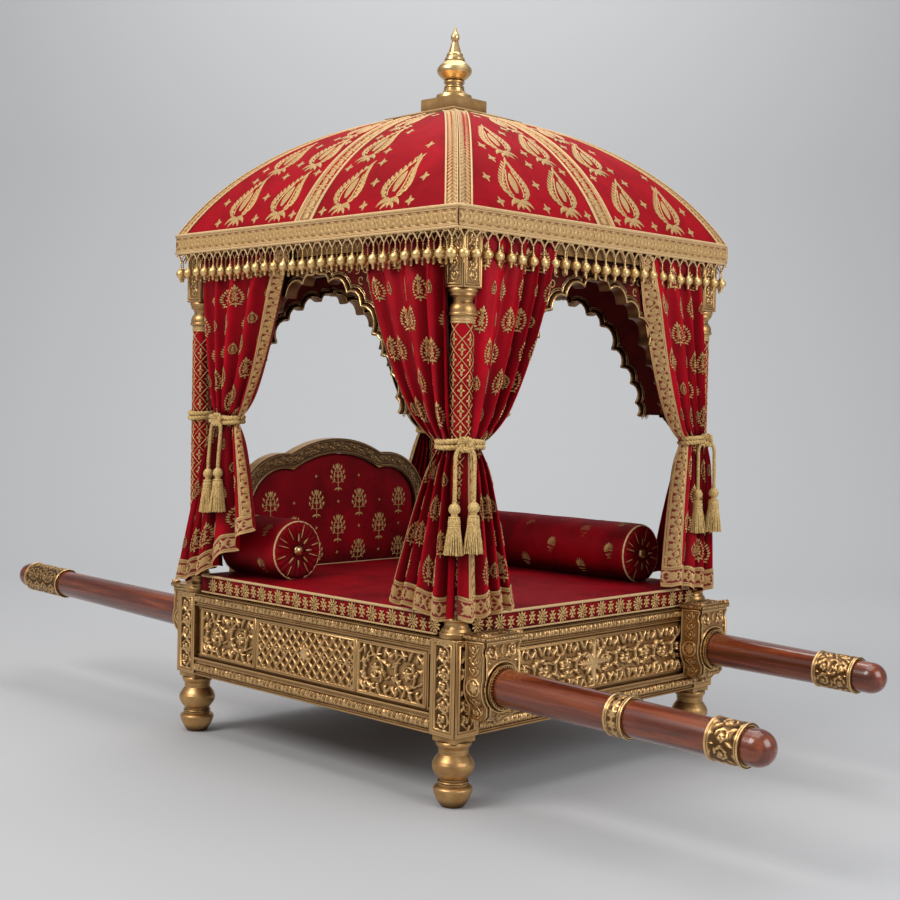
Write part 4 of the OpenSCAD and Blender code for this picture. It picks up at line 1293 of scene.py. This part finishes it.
# what differs from the usual curtain: the hem's near and far end by distance from the post, more reach of
# the leading edge, folds, hem height, its rise (height, power), widths of the leading border and of one by
# the post
USUAL = dict(near=10.0, far=160.0, more=0.0, folds=4.0, hem=410.0, rise=(24.0, 1.5), lead_b=46.0, post_b=0.0)
CURTAINS = {
    ("front_right", "side"): dict(near=-26.0, far=156.0, hem=412.0, lead_b=8.0),
    ("front_right", "end"): dict(near=-26.0, far=132.0, hem=412.0, lead_b=8.0, post_b=50.0),
    ("front_left", "end"): dict(near=-28.0, far=168.0),
    ("rear_right", "side"): dict(near=-34.0, far=290.0, more=96.0, folds=5.0, hem=398.0, rise=(172.0, 1.7)),
    ("rear_right", "end"): dict(far=110.0),
}


class Curtain:
    """One gathered curtain. a runs from the post to the leading edge, b from top to hem, both 0 to 1."""

    def __init__(self, corner, kind, phase):
        self.sx, self.sy = CORNERS[corner]
        self.kind, self.phase = kind, phase
        self.__dict__.update(USUAL, **CURTAINS.get((corner, kind), {}))
        self.lead = self.more + (POST[0] - 178 if kind == "side" else POST[1] - 150)
        self.width = 400.0 if kind == "side" else 360.0
        self.tie, self.tie_z = TIES[corner][kind], TIE_Z + TIES[corner]["z"]
        self.top = BEAM_Z + 22.0
        self.length = self.top - self.hem

    def local(self, a, b):
        """Distance along the edge from the post, outwards from it, and height."""
        top, tz, phase = self.top, self.tie_z, self.phase
        turn = 2 * pi * self.folds
        hem = self.hem + self.rise[0] * a ** self.rise[1] + 5.0 * np.sin(turn * a + phase + 0.8)
        z = top - b * (top - hem)
        up = np.clip((z - tz) / (top - tz), 0, 1)
        dn = np.clip((tz - z) / (tz - hem), 0, 1)
        t0, t1 = self.tie[0] - self.tie[1], self.tie[0] + self.tie[1]
        power = 0.30 if self.near < 0 and t0 < 20 else 0.8
        e0 = np.where(z >= tz, t0 + (28 - t0) * up ** 0.8,
                      t0 + (self.near - t0) * np.maximum(dn, 1e-6) ** power)
        e1 = np.where(z >= tz, t1 + (self.lead - t1) * up ** 0.56, t1 + (self.far - t1) * dn ** 0.70)
        pin = np.exp(-((z - tz) / 40.0) ** 2)
        # uneven folds that wander on their way down
        drift = 0.045 * np.sin(2.6 * b + 3 * phase) * np.sin(pi * a) + 0.05 * np.sin(2 * pi * a + phase)
        ph = turn * (a + drift) + phase
        lobe = 2 * np.sqrt(np.cos(ph / 2) ** 2 + 0.02) ** 0.8 - 1.15
        fine = 0.06 * np.sin(2 * ph + 5 * b) + 0.05 * np.sin(3 * ph - 4 * b + phase)
        amp = (19.0 + 6.0 * np.sin(5.0 * a + 2 * phase)) * (0.45 + 0.55 * np.clip(b * 7, 0, 1))
        amp = amp * (1 - 0.62 * pin) + 3.0 * dn
        e = e0 + (e1 - e0) * (a - 0.42 / turn * np.sin(ph) * (1 - 0.3 * pin))
        bunch = 8.0 * pin * (np.sqrt(np.clip(1 - (2 * a - 1) ** 2, 0, 1)) - 0.3)
        swell = (4.0 * np.sin(pi * up) + 5.0 * np.sin(pi * dn)) * np.sin(pi * a)
        return e, 27.0 + amp * (lobe + fine) + bunch + 15.0 * dn ** 1.3 + swell, z

    def surface(self, x, y):
        e, o, z = self.local(np.clip(x / self.width, 0, 1), np.clip(y / self.length, 0, 1))
        if self.kind == "side":
            return xyz(self.sx * (POST[0] - e), self.sy * (POST[1] + o), z)
        return xyz(self.sx * (POST[0] + o), self.sy * (POST[1] - e), z)

    def normal(self, x, y, e):
        p = self.surface(x, y)
        return np.cross(self.surface(x + e, y) - p, self.surface(x, y + e) - p)

    def out(self):
        """+1 if the surface's own normal points away from the bed."""
        n = self.normal(np.linspace(0.1, 0.9, 40) * self.width, self.length * 0.3, 1).sum(axis=0)
        return 1 if (n[1] * self.sy if self.kind == "side" else n[0] * self.sx) > 0 else -1

    def lifted(self, way, x, y, up):
        e = 0.6
        x, y = np.clip(x, 0, self.width), np.clip(y, 0, self.length)
        n = unit(self.normal(np.minimum(x, self.width - e), np.minimum(y, self.length - e), e))
        return self.surface(x, y) + way * n * up[:, None]


def edge_band(wide, tall):
    """A woven border tall long and wide across: a wavy vine with flowers and leaves between lines."""
    r = Relief(tall, wide, 2.0)
    pitch = tall / max(1, int(tall / 40))
    if wide > 20:
        t = np.linspace(0, 1, 14)
        for cx in -tall / 2 + (np.arange(int(round(tall / pitch))) + 0.5) * pitch:
            r.stroke(xyz(cx - pitch / 2 + pitch * t, wide * 0.20 * np.sin(2 * pi * t)), 1.5, 0.9)
            for s in (-1, 1):
                x = cx + s * pitch / 4
                r.strokes(flower(x, s * wide * 0.10, wide * 0.19, 6))
                r.strokes([leaf(x, -s * wide * 0.28, q, 11, 4.6, 0.3 * s) for q in (0.5 * s, pi - 0.5 * s)])
                r.strokes([leaf(cx - s * pitch / 4 + 3, s * wide * 0.26, s * 0.7, 10, 4.6, 0.5)])
    for s in (-1, 1):
        r.line(s * (wide / 2 - 2.4), 2.6, 1.0)
        if wide > 20:
            r.line(s * (wide / 2 - 8.5), 1.4, 0.9)
    return r


def hem_band(wide, tall):
    r = Relief(wide, tall, 2.0)
    n = int(wide / 44)
    for cx in -wide / 2 + (np.arange(n) + 0.5) * wide / n:
        m = cx + wide / n / 2
        r.strokes(flower(cx, 0, 12, 8) + [leaf(cx, 0, a, 18, 5.5) for a in (0.75, 2.39, 3.9, 5.5)])
        r.strokes([([(m - 9, -s * 13), (m + 9, s * 13)], 1.8) for s in (1, -1)] + flower(m, 0, 7, 4))
    for y, rad in ((tall / 2 - 2.4, 2.6), (tall / 2 - 8.5, 1.5), (2.4 - tall / 2, 2.6), (7.5 - tall / 2, 1.5)):
        r.line(y, rad)
    return r


def curtains():
    big, small = motif_boteh(60), motif_boteh(34)
    na, nb = 98, 60
    hem_w = 52.0
    rows = 11
    for number, (name, kind) in enumerate((name, kind) for name in CORNERS for kind in ("side", "end")):
        c = Curtain(name, kind, 0.5 + 1.3 * number)
        x, y = np.meshgrid(np.linspace(0, 1, na) * c.width, np.linspace(0, 1, nb) * c.length, indexing="ij")
        tag = "%s_%s" % (kind, name)
        cloth = mesh("curtain_" + tag, c.surface(x.ravel(), y.ravel()), grid_faces(na, nb), CURTAIN_RED,
                     "curtain_velvet")
        way = c.out()
        border = Pile()

        def upright(wide, x0, y0):
            y1 = c.length - hem_w
            border.lay(edge_band(wide, y1 - y0),
                       lambda x, y, h: c.lifted(way, x0 + wide / 2 + y, (y0 + y1) / 2 + x, 0.9 + 1.3 * h))
        upright(c.lead_b, c.width - c.lead_b, 0)
        if c.post_b:
            upright(c.post_b, 26.0, (c.top - c.tie_z) * 1.02)
        border.lay(hem_band(c.width, hem_w),
                   lambda x, y, h: c.lifted(way, c.width / 2 + x, c.length - hem_w / 2 + y, 0.9 + 1.3 * h))
        trim = border.make("curtain_border_" + tag, BROCADE, "gold_cord", relief=True)
        motifs = Pile()
        for row in range(rows):
            y = 46 + row * (c.length - hem_w - 92) / (rows - 1)
            for k in range(5):
                x = (k + 0.26 + 0.5 * (row % 2)) * (c.width - c.lead_b - 10) / 5
                if x > c.width - c.lead_b - 18 or (c.post_b and x < 92 and y > 380):
                    continue
                v, f = turned(big if (row + 2 * k) % 3 != 1 else small, pi + 0.1 * sin(row + 2 * k),
                              1.0 if row < rows - 1 else 1.12)
                motifs.add(c.lifted(way, v[:, 0] + x, v[:, 1] + y, 0.8 + v[:, 2]), f)
        butis = motifs.make("curtain_butis_" + tag, GOLD_THREAD, "gold_cord")
        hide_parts("curtains_" + name)


# ---------------------------------------------------------------- bed
def bed():
    lo, hi = cad("mattress")
    x0, x1, y1, z0, z1 = lo[0], hi[0], hi[1], lo[2], hi[2]
    cx, cy = POST
    notch = 46.0
    # plan outline with a round notch at each post, counter-clockwise from the front right
    side = atan2(y1 - cy, sqrt(max(notch ** 2 - (y1 - cy) ** 2, 0)))
    front = atan2(sqrt(max(notch ** 2 - (x1 - cx) ** 2, 0)), x1 - cx)

    def notch_at(px, py, a, b, n):
        return [(px + notch * cos(q), py + notch * sin(q)) for q in np.linspace(a, b, n)]
    rim = notch_at(cx, -cy, side + pi, front, 18) + notch_at(cx, cy, -front, -side - pi, 18)
    if -x0 > cx - notch:
        rear = atan2(sqrt(max(notch ** 2 - (x0 + cx) ** 2, 0)), cx + x0)
        rim += notch_at(-cx, cy, side, -rear, 12) + notch_at(-cx, -cy, rear, -side, 12)
    else:
        rim += [(x0, y1), (x0, -y1)]
    rim = resample(np.array(rim), 9.0, closed=True)
    n = len(rim)
    t = unit(np.roll(rim, -1, axis=0) - np.roll(rim, 1, axis=0))
    nrm = xyz(t[:, 1], -t[:, 0])
    centre = np.array([(x0 + x1) / 2, 0.0])

    def crown(p):
        fx = np.clip(1 - ((p[:, 0] - centre[0]) / ((x1 - x0) / 2)) ** 2, 0, 1)
        fy = np.clip(1 - (p[:, 1] / y1) ** 2, 0, 1)
        w = 1.1 * np.sin(p[:, 0] * 0.021 + 2.1 * np.sin(p[:, 1] * 0.009)) * np.sin(p[:, 1] * 0.017 + 1.3)
        w += 0.6 * np.sin(p[:, 0] * 0.05 + p[:, 1] * 0.013)
        return 9.0 * (fx * fy) ** 0.35 + w * (fx * fy) ** 0.5
    # section of the edge: distance out from the outline, height
    edge = ((-7, z0 + 0.3), (-1.5, z0 + 1.5), (0.8, z0 + 10), (1.6, z0 + 24), (0.8, z1 - 9), (-0.5, z1 - 4),
            (-3, z1 - 0.6), (-7, z1 + 0.8))
    inner = rim - nrm * 7
    rings = [np.column_stack([centre + (inner - centre) * 0.5, np.full(n, z0 + 0.3)])]
    rings += [np.column_stack([rim + nrm * out, np.full(n, z)]) for out, z in edge]
    for s in np.linspace(1, 0.02, 26)[1:]:
        p = centre + (inner - centre) * s
        rings.append(np.column_stack([p, z1 + 0.8 + crown(p) * np.clip((1 - s) * 9, 0, 1)]))
    pad = mesh("mattress_velvet", np.concatenate(rings), ring_faces(len(rings), n), CUSHION_RED,
               "cushion_velvet")
    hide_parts("mattress")
    cords, motifs = Pile(), Pile()
    for z, out, rad in ((z1 - 1.2, 0.8, 3.6), (z0 + 4.5, 1.4, 2.6)):
        p = resample(np.column_stack([rim + nrm * out, np.full(n, z)]), 10, closed=True)
        cords.add(*tube_arrays(p, rad, 6, closed=True))
    cords.make("mattress_piping", PALE_THREAD, "gold_cord")
    big = motif(petals(11, 9.5, 10.5, 6.2, n=4) + petals(8, 3.5, 7.5, 4.6, 0.2, n=4)
                + [([(-1.5, 0), (1.5, 0)], 3.0)], 1.8)
    small = motif(petals(6, 2.0, 11.5, 6.0, 0.5, n=4)
                  + [leaf(0, s * 8, s * pi / 2 + 0.7 * t, 9.5, 4.5, 0.6 * t, 4)
                     for s in (-1, 1) for t in (-1, 1)], 1.4)
    for side, a, b, face in (("right", x0 + 50, x1 - 66, y1), ("left", 66 - x1, -x0 - 50, y1),
                             ("front", 66 - y1, y1 - 66, x1)):
        count = int(round((b - a) / 70.0))
        pitch = (b - a) / count
        put = on_side(side, face)
        for k in range(count + 1):
            x, z = a + k * pitch, (z0 + z1) / 2
            stamp(motifs, big, lambda p, q: put(p, q, 1.9), x, z, rot=0.2 * k)
            if k < count:
                stamp(motifs, small, lambda p, q: put(p, q, 1.7), x + 0.5 * pitch, z + 2 * (-1) ** k)
    motifs.make("mattress_embroidery", GOLD_THREAD, "gold_cord")


def bolsters():
    for side in SIDES:
        lo, hi = cad("bolster_" + side)
        half = (hi[0] - lo[0]) / 2
        r = (hi[2] - lo[2]) / 2
        mx, cy, cz = (lo + hi) / 2

        def place(along, across_, up):
            return xyz(mx + along, cy + across_, cz + up)
        turn = np.linspace(0, pi / 2, 9)
        end = [(0.5, 5 - half), (r * 0.3, 3.5 - half), (r * 0.6, 1 - half)]
        end += [(r - 16 + 16 * sin(t), 14 - half - 14 * cos(t)) for t in turn]
        body = [(r + 0.5 * sin(pi * k / 14), 14 - half + (2 * half - 28) * k / 14) for k in range(1, 14)]
        v, f = lathe_arrays(end + body + [(a, -b) for a, b in end[::-1]], 120)
        # radial gathers on both caps, fading out over the rim
        rad, ang, way = np.hypot(v[:, 0], v[:, 1]), np.arctan2(v[:, 1], v[:, 0]), np.sign(v[:, 2])
        cap = np.clip((np.abs(v[:, 2]) - (half - 16)) / 10, 0, 1) * np.sin(pi * np.clip(rad / r, 0, 1)) ** 0.5
        v[:, 2] += way * cap * (4.6 * np.abs(np.cos(12 * ang)) - 2.0)
        crease = np.sin(v[:, 2] * 0.035 + 3 * ang) * (1 - cap)
        v[:, :2] *= (1 + crease / 160)[:, None]
        v = place(v[:, 2], v[:, 0], v[:, 1])
        v[:, 2] = np.maximum(v[:, 2], lo[2] + 0.4)
        ob = mesh("bolster_velvet_" + side, v, f, CUSHION_RED, "cushion_velvet")
        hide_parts("bolster_" + side)
        rings, streaks, knobs, motifs = Pile(), Pile(), Pile(), Pile()
        a = angles(72)
        knob = [(0.3, 9.0), (4, 8.6), (7.5, 7.4), (10.5, 5.4), (12.6, 2.8), (13.6, 0.2), (13.4, -4)]
        for s in (-1, 1):
            p = place(s * (half - 5.5), (r - 5.0) * np.cos(a), (r - 5.0) * np.sin(a))
            rings.add(*tube_arrays(p, 2.8, 8, closed=True))
            for k in range(24):
                if (k * 7) % 5 > 2:
                    continue
                b = k * 2 * pi / 24
                streak = motif([leaf(r * (0.30 + 0.26 * ((k * 5) % 3) / 2), 0, 0.0, r * (0.26 + 0.1 * (k % 3)),
                                     3.2 + 2.6 * ((k * 7) % 3 == 0))], 1.2)
                stamp(streaks, streak, lambda p, q: place(s * (half + 1.6), p * cos(b) - q * sin(b),
                                                          p * sin(b) + q * cos(b)), 0, 0, base=0.0)
            v, f = lathe_arrays(knob, 32)
            knobs.add(place(s * (half - 0.5 + v[:, 2]), v[:, 0], v[:, 1]), f)
        rings.make("bolster_piping_" + side, PALE_THREAD, "gold_cord")
        streaks.make("bolster_streaks_" + side, GOLD_THREAD, "gold_cord")
        knobs.make("bolster_buttons_" + side, POLISHED, "brass_fittings", angle=50)
        bloom = motif_bloom(42)
        n = int(2 * half / 92)
        for k in range(n):
            x = -half + (k + 0.5) * 2 * half / n
            for j in range(5):
                b = (j + 0.5 * (k % 2)) * 2 * pi / 5 + 0.5
                if sin(b) > -0.8:
                    stamp(motifs, bloom, lambda p, q: place(x - p, (r + 0.8) * np.cos(b - q / r),
                                                            (r + 0.8) * np.sin(b - q / r)),
                          0, 0, rot=0.2 * sin(5 * k), base=0.0)
        motifs.make("bolster_butis_" + side, GOLD_THREAD, "gold_cord")


# ---------------------------------------------------------------- headboard
def headboard():
    lo, hi = cad("headboard_frame")
    z0, front, back = lo[2], hi[0], lo[0]
    half = hi[1]
    tall = round(hi[2] - lo[2])
    mid_r, side_r = 348.0, 158.0
    side_y, side_z = half - side_r, hi[2] - lo[2] + 0.2 - 198

    def outline(inset, n=220):
        """The three-arched outline from foot to foot."""
        y = np.linspace(inset - half, half - inset, n)
        z = np.where(np.abs(y) <= side_y, tall - mid_r + bulge(y, mid_r - inset), side_z)
        for s in (-1, 1):
            z = np.maximum(z, side_z + bulge(y - s * side_y, side_r - inset))
        return np.vstack([[y[0], inset], xyz(y, z), [y[-1], inset]])
    # frame relief on the front and back faces, between the outline and its nearest inner points, kept in order
    outer, inner = resample(outline(2.0), 3.0), resample(outline(40.5), 3.0)
    inner = inner[np.maximum.accumulate([int(np.argmin(np.hypot(*(inner - p).T))) for p in outer])]
    for _ in range(3):
        inner = np.vstack([inner[:1], (inner[:-2] + 2 * inner[1:-1] + inner[2:]) / 4, inner[-1:]])
    run = lengths(outer)
    L = run[-1]
    width = 38.0
    r = Relief(L, width, 2.0)
    n = int(L / 31)
    pitch = L / n
    t = np.linspace(0, 1, 12)
    for k in range(n):
        cx, way = -L / 2 + (k + 0.5) * pitch, alternate(k)
        r.stroke(xyz(cx - pitch / 2 + t * pitch, 7.0 * way * np.sin(pi * t)), 1.5, 0.9)
        r.strokes(flower(cx, -1.5 * way, 6.2, 6))
        r.strokes([leaf(cx + q * 9, -5.0 * way, -way * (0.7 if q > 0 else pi - 0.7), 8.5, 4.6, 0.4 * q)
                   for q in (-1, 1)] + [leaf(cx + pitch / 2 - 3, 5.5 * way, 0.3 * way, 9, 4.4, 0.4)])
    for y, rad, top in ((16.2, 3.0, 1.15), (11.6, 1.3, 0.8)):
        r.line(y, rad, top)
        r.line(-y, rad, top)
    pile = Pile()
    for way, x in ((1, front - 0.5), (-1, back + 0.5)):
        def put(u, w, h):
            pa, pb = [xyz(*[np.interp(u + L / 2, run, p[:, k]) for k in (0, 1)]) for p in (outer, inner)]
            q = pb + (pa - pb) * ((w + width / 2) / width)[:, None]
            return xyz(x + way * h * 5.0, q[:, 0], z0 + q[:, 1])
        pile.lay(r, put)
    pile.make("headboard_carving", DARK_CARVED, "carved_brass", relief=True)
    # padded face
    rear, face = cad("headboard_pad")[0][0], cad("headboard_pad")[1][0]
    plan = resample(outline(43.0, 120), 7.0)
    centre = np.array([0.0, 150.0])
    rings = []
    for s, x in ((1.0, rear + 0.5), (1.0, face - 5), (0.992, face - 1.0), (0.98, face + 1.6)):
        q = centre + (plan - centre) * s
        rings.append(xyz(x, q[:, 0], z0 + q[:, 1]))
    for s in np.linspace(0.96, 0.02, 22):
        q = centre + (plan - centre) * s
        wave = 0.5 * np.sin(q[:, 0] * 0.05) * np.sin(q[:, 1] * 0.045) * (1 - s)
        swell = 1.6 + 10.5 * (1 - s ** 2.4) ** 0.9 + wave
        rings.append(xyz(face + swell, q[:, 0], z0 + q[:, 1]))
    v, f = np.concatenate(rings), ring_faces(len(rings), len(plan))
    pad = mesh("headboard_pad_velvet", v, f, CUSHION_RED, "cushion_velvet")
    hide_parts("headboard_pad")
    # motifs laid on the pad by ray from the front
    bvh = BVHTree.FromPolygons([Vector(p) for p in v], f)

    def on_pad(ys, zs):
        hits = [bvh.ray_cast(Vector((face + 60, y, z)), Vector((-1, 0, 0)))[0] for y, z in zip(ys, zs)]
        return xyz(np.array([hit.x if hit is not None else face for hit in hits]), ys, zs)
    motifs = Pile()
    branch, dot = motif_branch(80), motif_quad(5)
    ridge = outline(40)[1:-1]
    for row in range(6):
        z = z0 + 292 - row * 72
        for k in range(-3, 4):
            y = (k + 0.5 * (row % 2)) * 158
            if abs(y) < 278 and z + 40 < z0 + np.interp(y, *ridge.T) and z > DECK + 56:
                stamp(motifs, branch, on_pad, y, z, base=0.5)
            y += 79
            if abs(y) < 288 and z + 22 < z0 + np.interp(y, *ridge.T) and z > DECK + 56:
                stamp(motifs, dot, on_pad, y, z + 4)
    motifs.make("headboard_butis", GOLD_THREAD, "gold_cord")


# ---------------------------------------------------------------- ties
def hull(points):
    """Convex hull of points in the plane, counter-clockwise."""
    def chain(seq):
        out = []
        for q in seq:
            while len(out) > 1:
                (ax, ay), (bx, by) = out[-2:]
                if (bx - ax) * (q[1] - ay) - (by - ay) * (q[0] - ax) > 0:
                    break
                out.pop()
            out.append(q)
        return out[:-1]
    p = sorted(map(tuple, points))
    return np.array(chain(p) + chain(p[::-1]))


def tassel_arrays(seed):
    """A ball, a wrapped cap and a skirt of separate threads, hanging from the origin."""
    rng = np.random.default_rng(seed)
    pile = Pile()
    head = [(0.5, 2), (4.5, 1), (9.8, -4), (12.6, -11), (11.4, -18), (6.5, -23), (5.4, -26), (9.4, -28),
            (12.0, -33), (13.4, -40), (12.4, -45), (10.8, -47)]
    pile.add(*lathe_arrays(head[::-1], 32, lambda a: 1 + 0.035 * np.cos(16 * a)))
    a = angles(28)
    for z, rad in ((-25.0, 6.0), (-30.0, 11.0), (-46.0, 12.4), (-50.5, 12.6)):
        pile.add(*tube_arrays(xyz(rad * np.cos(a), rad * np.sin(a), z), 1.7, 6, closed=True))
    t = np.linspace(0, 1, 5)
    for count, r0, r1, thick in ((46, 11.6, 20.5, 1.45), (26, 8.0, 15.0, 1.5), (12, 4.0, 8.0, 1.6)):
        for k in range(count):
            a = 2 * pi * (k + 0.3 * rng.random()) / count
            rad = r0 + (r1 - r0) * t ** 0.85 + 0.8 * rng.standard_normal() * t
            a = a + 0.10 * rng.standard_normal() * t
            z = -46 - (62 + 2.5 * rng.random()) * t
            pile.add(*tube_arrays(xyz(rad * np.cos(a), rad * np.sin(a), z), thick * (1 + 0.15 * t), 4))
    return pile.arrays()


def ties():
    low_z, top_z = heights("tieback_tails")
    up = np.array([0, 0, 1.0])
    ropes = Pile()
    tails = []
    for name, (sx, sy) in CORNERS.items():
        tie = TIES[name]
        tz = TIE_Z + tie["z"]
        # discs (outwards along X, outwards along Y, radius) that a rope goes round
        (se, sh), (ee, eh) = tie["side"], tie["end"]
        reach = eh - 15.0 if eh > 25 else 0.4 * eh
        post = [(0.0, 0.0, SHAFT_R), (27.0, reach - ee, 15.0), (27.0, -reach - ee, 15.0)]
        groups = [(0.0, post + [(0.4 * sh - se, 27.0, 15.0), (-0.4 * sh - se, 27.0, 15.0)])]
        if name == "rear_right":
            groups = [(8.0, post), (0.0, [(sh - se - 12, 26.0, 17.0), (12 - sh - se, 26.0, 17.0)])]
        for lift, discs in groups:
            h = hull([(u + (r + 5.4) * cos(t), w + (r + 5.4) * sin(t))
                      for u, w, r in discs for t in angles(32)])
            h = resample(h, 4.5, closed=True)
            for dz in (-5.8, 5.8):
                wave = 1.6 * np.sin(np.linspace(0, 2 * pi, len(h)) * 2 + dz)
                p = xyz(sx * (POST[0] + h[:, 0]), sy * (POST[1] + h[:, 1]), tz + lift + dz + wave)
                ropes.add(*tube_arrays(p, 3.3, 6, closed=True, twist=(3, 27.0, 3.2)))
        knot = np.array([sx * (POST[0] + tie["knot"][0]), sy * (POST[1] + tie["knot"][1]), tz])
        d = np.array([*tie["look"], 0.0]) / hypot(*tie["look"])
        t = np.cross(d, up)
        a = angles(44)
        for turn, size in ((0.0, 13.0), (0.95, 14.5), (-0.95, 14.5), (pi / 2, 10.0)):
            u = t * cos(turn) + up * sin(turn)
            w = np.cross(d, u)
            p = knot + np.outer(np.cos(a) * size, u) + np.outer(np.sin(a) * size * 0.5, w)
            ropes.add(*tube_arrays(p + np.outer(2.0 + np.cos(2 * a) * 3.0, d), 2.8, 6, closed=True,
                                   twist=(3, 22.0, 2.7)))
        for s in (-1, 1):
            z = np.linspace(top_z + 5, low_z - 2 - 4 * (s > 0), 40) + tie["z"]
            out = 4.0 + 9.0 * np.clip((tz - z) / 105, 0, 1)
            bend = 20.5 - 10.0 * np.clip((z - tie["z"] - top_z + 22) / 26, 0, 1) ** 2
            tails.append((name, s, np.outer(out, d) + np.outer(s * bend, t) + xyz(knot[0], knot[1], z)))
    rope = ropes.make("tie_ropes", CORD, "gold_cord")
    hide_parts("tieback_ropes")
    for k, (name, s, path) in enumerate(tails):
        tag = "%s_%s" % (name, "a" if s < 0 else "b")
        v, f = tube_arrays(path, 2.5, 6, twist=(3, 21.0, 2.5))
        cord = mesh("tie_tail_" + tag, v, f, CORD, "gold_cord")
        v, f = tassel_arrays(k)
        tassel = mesh("tassel_" + tag, v + path[-1] + [0, 0, -1.0], f, CORD, "gold_cord")
        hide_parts("tieback_tails")
        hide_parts("tassels")
        float(lengths(path)[-1]) * MM
        [tuple(p * MM) for p in path]


# ---------------------------------------------------------------- the CAD nodes that stay
FINISHES = (
    (BRASS, ("leg_", "corner_block", "capital_block", "pole_bracket", "bottom_rail", "top_rail",
             "carved_panel", "head_beams", "headboard_frame", "crown_plinth")),
    (POLISHED, ("finial", "bracket_urns", "pole_ferrules")),
    (SAWN, ("deck", "canopy_frame")),
    (BOARD_RED, ("canopy_band",)),
)


def finishes():
    for name in NODES:
        for material, starts in FINISHES:
            if name.startswith(starts):
                paint(name, material)


# share of the triangles kept, by the start of the piece's name
THIN = (("panel_carving", 0.22), ("rail_carving", 0.19), ("rim_band", 0.24), ("bracket_carving", 0.20),
        ("capital_carving", 0.19), ("block_carving", 0.20), ("pole_ferrule_carving", 0.22),
        ("canopy_ribs", 0.20), ("curtain_border", 0.20), ("headboard_carving", 0.28), ("post_bands", 0.22),
        ("arch_tracery", 0.10), ("arch_beads", 0.30), ("arch_mouldings", 0.6), ("canopy_embroidery", 0.6),
        ("curtain_butis", 0.52), ("post_braid", 0.5), ("fringe_drops", 0.75), ("fringe_braid", 0.7))


def thin():
    """Takes out the points that lie in flat ground or on straight runs."""
    found = [(ob, ratio) for ob in bpy.context.scene.objects for start, ratio in THIN
             if ob.type == "MESH" and ob.name.startswith(start)]
    for ob, ratio in found:
        ob.modifiers.new("thin", "DECIMATE").ratio = ratio
    graph = bpy.context.evaluated_depsgraph_get()
    graph.update()
    made = [bpy.data.meshes.new_from_object(ob.evaluated_get(graph), preserve_all_data_layers=True,
                                            depsgraph=graph) for ob, _ in found]
    for (ob, _), me in zip(found, made):
        ob.modifiers.clear()
        ob.data = me


# ---------------------------------------------------------------- studio
def area_light(name, loc, aim, size, power, color=(1, 1, 1)):
    data = bpy.data.lights.new(name, "AREA")
    data.shape = "RECTANGLE"
    data.size, data.size_y = size
    data.energy = power
    data.color = color
    lamp = bpy.data.objects.new(name, data)
    lamp.location = loc
    lamp.rotation_euler = (Vector(aim) - Vector(loc)).to_track_quat("-Z", "Y").to_euler()
    bpy.context.scene.collection.objects.link(lamp)


def studio():
    """A floor that sweeps up behind the palanquin, four lamps and a grey sky; lengths in metres."""
    bend = np.linspace(0, pi / 2, 14)[1:]
    section = [(-9.0, 0.0), (3.2, 0.0)] + [(3.2 + 2.4 * sin(a), 2.4 - 2.4 * cos(a)) for a in bend]
    section += [(5.6, 9.0)]
    v = [((w - u) / sqrt(2), (w + u) / sqrt(2), z) for u, z in section for w in (-14, 14)]
    me = bpy.data.meshes.new("studio_sweep")
    me.from_pydata(v, [], [[2 * k, 2 * k + 1, 2 * k + 3, 2 * k + 2] for k in range(len(section) - 1)])
    me.materials.append(studio_grey())
    me.polygons.foreach_set("use_smooth", [True] * len(me.polygons))
    ob = bpy.data.objects.new("studio_sweep", me)
    bpy.context.scene.collection.objects.link(ob)
    area_light("key", (-0.6, -4.2, 4.2), (0, 0, 0.8), (2.4, 2.4), 150, (1.0, 0.98, 0.95))
    area_light("fill", (4.6, 0.2, 2.6), (0, 0, 0.8), (2.6, 2.6), 95, (0.96, 0.98, 1.0))
    area_light("top", (0.2, 0.0, 5.4), (0, 0, 0), (4.0, 4.0), 110)
    area_light("wall", (-2.0, 2.0, 5.6), (-4.2, 4.2, 1.2), (4.0, 2.0), 120)
    world = bpy.data.worlds.new("studio")
    world.use_nodes = True
    sky = world.node_tree.nodes["Background"]
    sky.inputs["Color"].default_value = (0.86, 0.86, 0.87, 1)
    sky.inputs["Strength"].default_value = 0.42
    scene = bpy.context.scene
    scene.world = world
    scene.view_settings.view_transform = "Standard"
    scene.view_settings.look = "None"
    scene.cycles.use_denoising = True


for build in (rails_and_panels, block_carving, capital_carving, bracket_carving, poles, post_shafts, canopy,
              rim_band, fringe, arches, curtains, bed, bolsters, headboard, ties, finishes, thin, studio):
    build()
